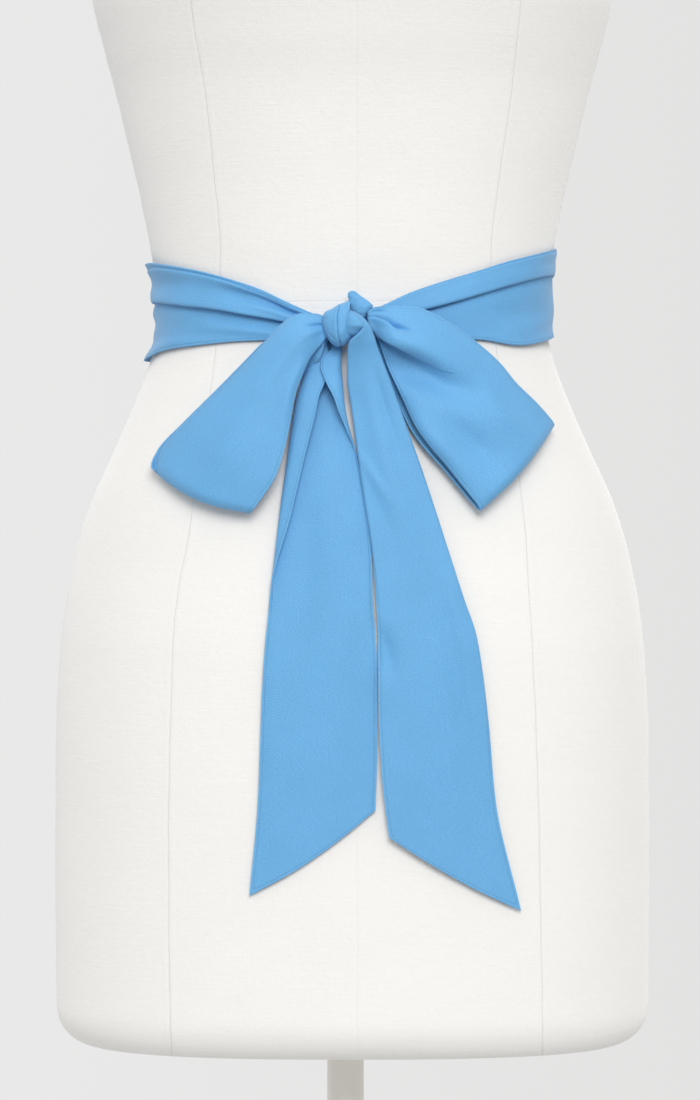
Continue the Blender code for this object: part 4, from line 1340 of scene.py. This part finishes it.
class SASH_OT_loops(bpy.types.Operator):
    """Make the two loops of the bow"""

    bl_idname = "sash.loops"
    bl_label = "Bow loops"

    def execute(self, context):
        settings = context.scene.sash_settings
        left = loop_rows(LOOP_LEFT, (), LOOP_LEFT_CREASES, (44,), 11.0)
        counts = (18, 16, 18)
        right = loop_rows(
            LOOP_RIGHT, LOOP_RIGHT_TUCKS, LOOP_RIGHT_CREASES, counts, 17.0, LIPS_CLOSE
        )
        for side, rows in (("left", left), ("right", right[::-1])):
            loop = cloth_sheet(f"bow_loop_{side}", [rows], settings.thickness)
            stand_for(loop, "crepe", f"sash_loop_{side}")
        return {"FINISHED"}


class SASH_OT_left_tail(bpy.types.Operator):
    """Hang the left tail from the knot"""

    bl_idname = "sash.left_tail"
    bl_label = "Left tail"

    def execute(self, context):
        settings = context.scene.sash_settings
        rows = tail_rows(TAIL_LEFT, TAIL_LEFT_CREASES, 23.0, tail_shares(), LEFT_TAIL_FULLNESS)
        tail = cloth_sheet("sash_end_left", [rows], settings.thickness, sewn_end=True)
        stand_for(tail, "crepe", "sash_tail_left")
        return {"FINISHED"}


class SASH_OT_right_tail(bpy.types.Operator):
    """Bring the right tail out of the wrap and hang it over the left one"""

    bl_idname = "sash.right_tail"
    bl_label = "Right tail"

    def execute(self, context):
        settings = context.scene.sash_settings
        shares = tail_shares()
        rows = tail_rows(TAIL_RIGHT, TAIL_RIGHT_CREASES, 29.0, shares)
        grids = [rows, lobe_rows(rows, shares)]
        tail = cloth_sheet("sash_end_right", grids, settings.thickness, sewn_end=True)
        stand_for(tail, "crepe", "sash_tail_right", "sash_knot_cross")
        return {"FINISHED"}


class SASH_OT_knot(bpy.types.Operator):
    """Wind the knot"""

    bl_idname = "sash.knot"
    bl_label = "Knot"

    def execute(self, context):
        thickness = context.scene.sash_settings.thickness
        for name, node, rows, width, flat in (
            ("knot_wrap", "sash_knot_wrap", wrap_rows(), WRAP_WIDTH, (0.024, 0.062)),
            ("knot_peak", "sash_knot_peak", peak_rows(), PEAK_WIDTH, (0.014, 0.032)),
        ):
            piece = cloth_sheet(name, [rows], thickness, closed=True, width=width)
            stand_for(piece, "crepe", node)
        return {"FINISHED"}


class SASH_OT_dress_form(bpy.types.Operator):
    """Build the dress form's linen-covered body"""

    bl_idname = "sash.dress_form"
    bl_label = "Dress form"

    def execute(self, context):
        body = linen_body(linen_material(context.scene.sash_settings))
        stand_for(body, "linen", "form_body")
        return {"FINISHED"}


class SASH_OT_stand(bpy.types.Operator):
    """Turn the pole and the round base"""

    bl_idname = "sash.stand"
    bl_label = "Stand"

    def execute(self, context):
        enamel = enamel_material(context.scene.sash_settings)
        for name, node, profile in (
            ("stand_pole", "form_pole", POLE_PROFILE),
            ("stand_base", "form_base", BASE_PROFILE),
        ):
            stand_for(turned_piece(name, profile, enamel), "white_enamel", node)
        return {"FINISHED"}


class SASH_OT_studio(bpy.types.Operator):
    """Set up the pale studio, its lights and the camera"""

    bl_idname = "sash.studio"
    bl_label = "Studio"

    def execute(self, context):
        bpy.ops.object.select_all(action="DESELECT")
        bpy.ops.mesh.primitive_circle_add(
            vertices=96, radius=FLOOR_RADIUS, fill_type="NGON", location=(0, 0, -MM)
        )
        floor = context.active_object
        floor.name = "studio_floor"
        bpy.ops.object.transform_apply(location=True, rotation=True, scale=True)
        floor.data.materials.append(floor_material(context.scene.sash_settings))
        add_sky(context.scene)
        add_softbox("key_softbox", (0.25, -2.6, 2.25), 1.4, 57.0, (1.0, 0.99, 0.975))
        add_camera(context.scene)
        return {"FINISHED"}


def add_softbox(name, place, size, power, colour):
    """A square light aimed at the bow."""
    lamp = bpy.data.lights.new(name, "AREA")
    lamp.shape = "SQUARE"
    lamp.size = size
    lamp.energy = power
    lamp.color = colour
    piece = bpy.data.objects.new(name, lamp)
    bpy.context.scene.collection.objects.link(piece)
    piece.location = place
    heading = Vector(SOFTBOX_AIM) - piece.location
    piece.rotation_euler = heading.to_track_quat("-Z", "Y").to_euler()


# Brightness of the room from left (0) to right (1), behind the form and on the camera's side
ROOM_BEHIND = ((0.0, 1.00), (0.38, 0.86), (0.46, 0.815), (0.56, 0.76), (1.0, 0.80))
ROOM_AHEAD = ((0.0, 0.61), (0.5, 0.50), (1.0, 0.54))


def add_sky(scene):
    """A pale room: alike at all heights behind the form, dim below and bright above ahead."""
    world = bpy.data.worlds.new("pale_room")
    scene.world = world
    world.use_nodes = True
    tree = world.node_tree
    direction = new_node(tree, "ShaderNodeTexCoord").outputs["Generated"]
    x, y, z = new_node(tree, "ShaderNodeSeparateXYZ", {0: direction}).outputs
    share = maths(tree, "ADD", maths(tree, "MULTIPLY", x, 0.5), 0.5)
    behind = sky_colours(tree, share, ROOM_BEHIND)
    ahead = sky_colours(tree, share, ROOM_AHEAD)
    height = smooth_range(tree, z, -0.5, 0.8, 0.27, 1.7)
    lit = new_node(tree, "ShaderNodeVectorMath", {0: ahead, "Scale": height}, operation="SCALE")
    facing = smooth_range(tree, y, -0.25, 0.55)
    # The last two are a colour mix's A and B, whose names other inputs share
    sides = {"Factor": facing, 6: lit.outputs["Vector"], 7: behind}
    room = new_node(tree, "ShaderNodeMix", sides, data_type="RGBA")
    fill_inputs(tree, tree.nodes["Background"], {"Color": room.outputs[2], "Strength": 1.0})


def sky_colours(tree, share, stops):
    """A near-neutral ramp through (place, brightness) stops, a little warm where it is dark."""
    ramp = new_node(tree, "ShaderNodeValToRGB", {"Fac": share})
    elements = ramp.color_ramp.elements
    last = len(stops) - 1
    for i, (place, level) in enumerate(stops):
        stop = elements[-1 if i else 0] if i in (0, last) else elements.new(place)
        stop.position = place
        warmth = 0.05 * (0.85 - level)
        stop.color = (level + 0.3 * warmth, level, level - warmth, 1.0)
    return ramp.outputs["Color"]


def add_camera(scene):
    """The camera looks level at the sash, and sees VIEW_HEIGHT of it from top to bottom."""
    lens = bpy.data.cameras.new("camera")
    lens.sensor_width = 36.0
    lens.lens = lens.sensor_width * CAMERA_DISTANCE / VIEW_HEIGHT
    camera = bpy.data.objects.new("camera", lens)
    scene.collection.objects.link(camera)
    camera.location = (CAMERA_SIDEWAYS, -CAMERA_DISTANCE, CAMERA_HEIGHT)
    camera.rotation_euler = (math.radians(90.0), 0.0, 0.0)
    scene.camera = camera
    scene.view_settings.view_transform = "Standard"
    scene.view_settings.look = "None"
    scene.view_settings.exposure = 0.0


class SASH_PT_panel(bpy.types.Panel):
    """Lists the steps that build the sash"""

    bl_idname = "SASH_PT_panel"
    bl_label = "Crepe sash"
    bl_space_type = "VIEW_3D"
    bl_region_type = "UI"
    bl_category = "Sash"

    def draw(self, context):
        settings = context.scene.sash_settings
        for name in ("thickness", "sheen", "crepe", "linen", "enamel", "floor"):
            self.layout.prop(settings, name)
        for step in STEPS:
            self.layout.operator(step.bl_idname)


STEPS = (
    SASH_OT_dress_form,
    SASH_OT_stand,
    SASH_OT_waist,
    SASH_OT_loops,
    SASH_OT_left_tail,
    SASH_OT_right_tail,
    SASH_OT_knot,
    SASH_OT_studio,
)
CLASSES = (SashSettings, *STEPS, SASH_PT_panel)


def register():
    for item in CLASSES:
        bpy.utils.register_class(item)
    bpy.types.Scene.sash_settings = bpy.props.PointerProperty(type=SashSettings)


def unregister():
    del bpy.types.Scene.sash_settings
    for item in reversed(CLASSES):
        bpy.utils.unregister_class(item)


def main():
    register()
    bpy.ops.sash.dress_form()
    bpy.ops.sash.stand()
    bpy.ops.sash.waist()
    bpy.ops.sash.loops()
    bpy.ops.sash.left_tail()
    bpy.ops.sash.right_tail()
    bpy.ops.sash.knot()
    bpy.ops.sash.studio()


if __name__ == "__main__":
    main()
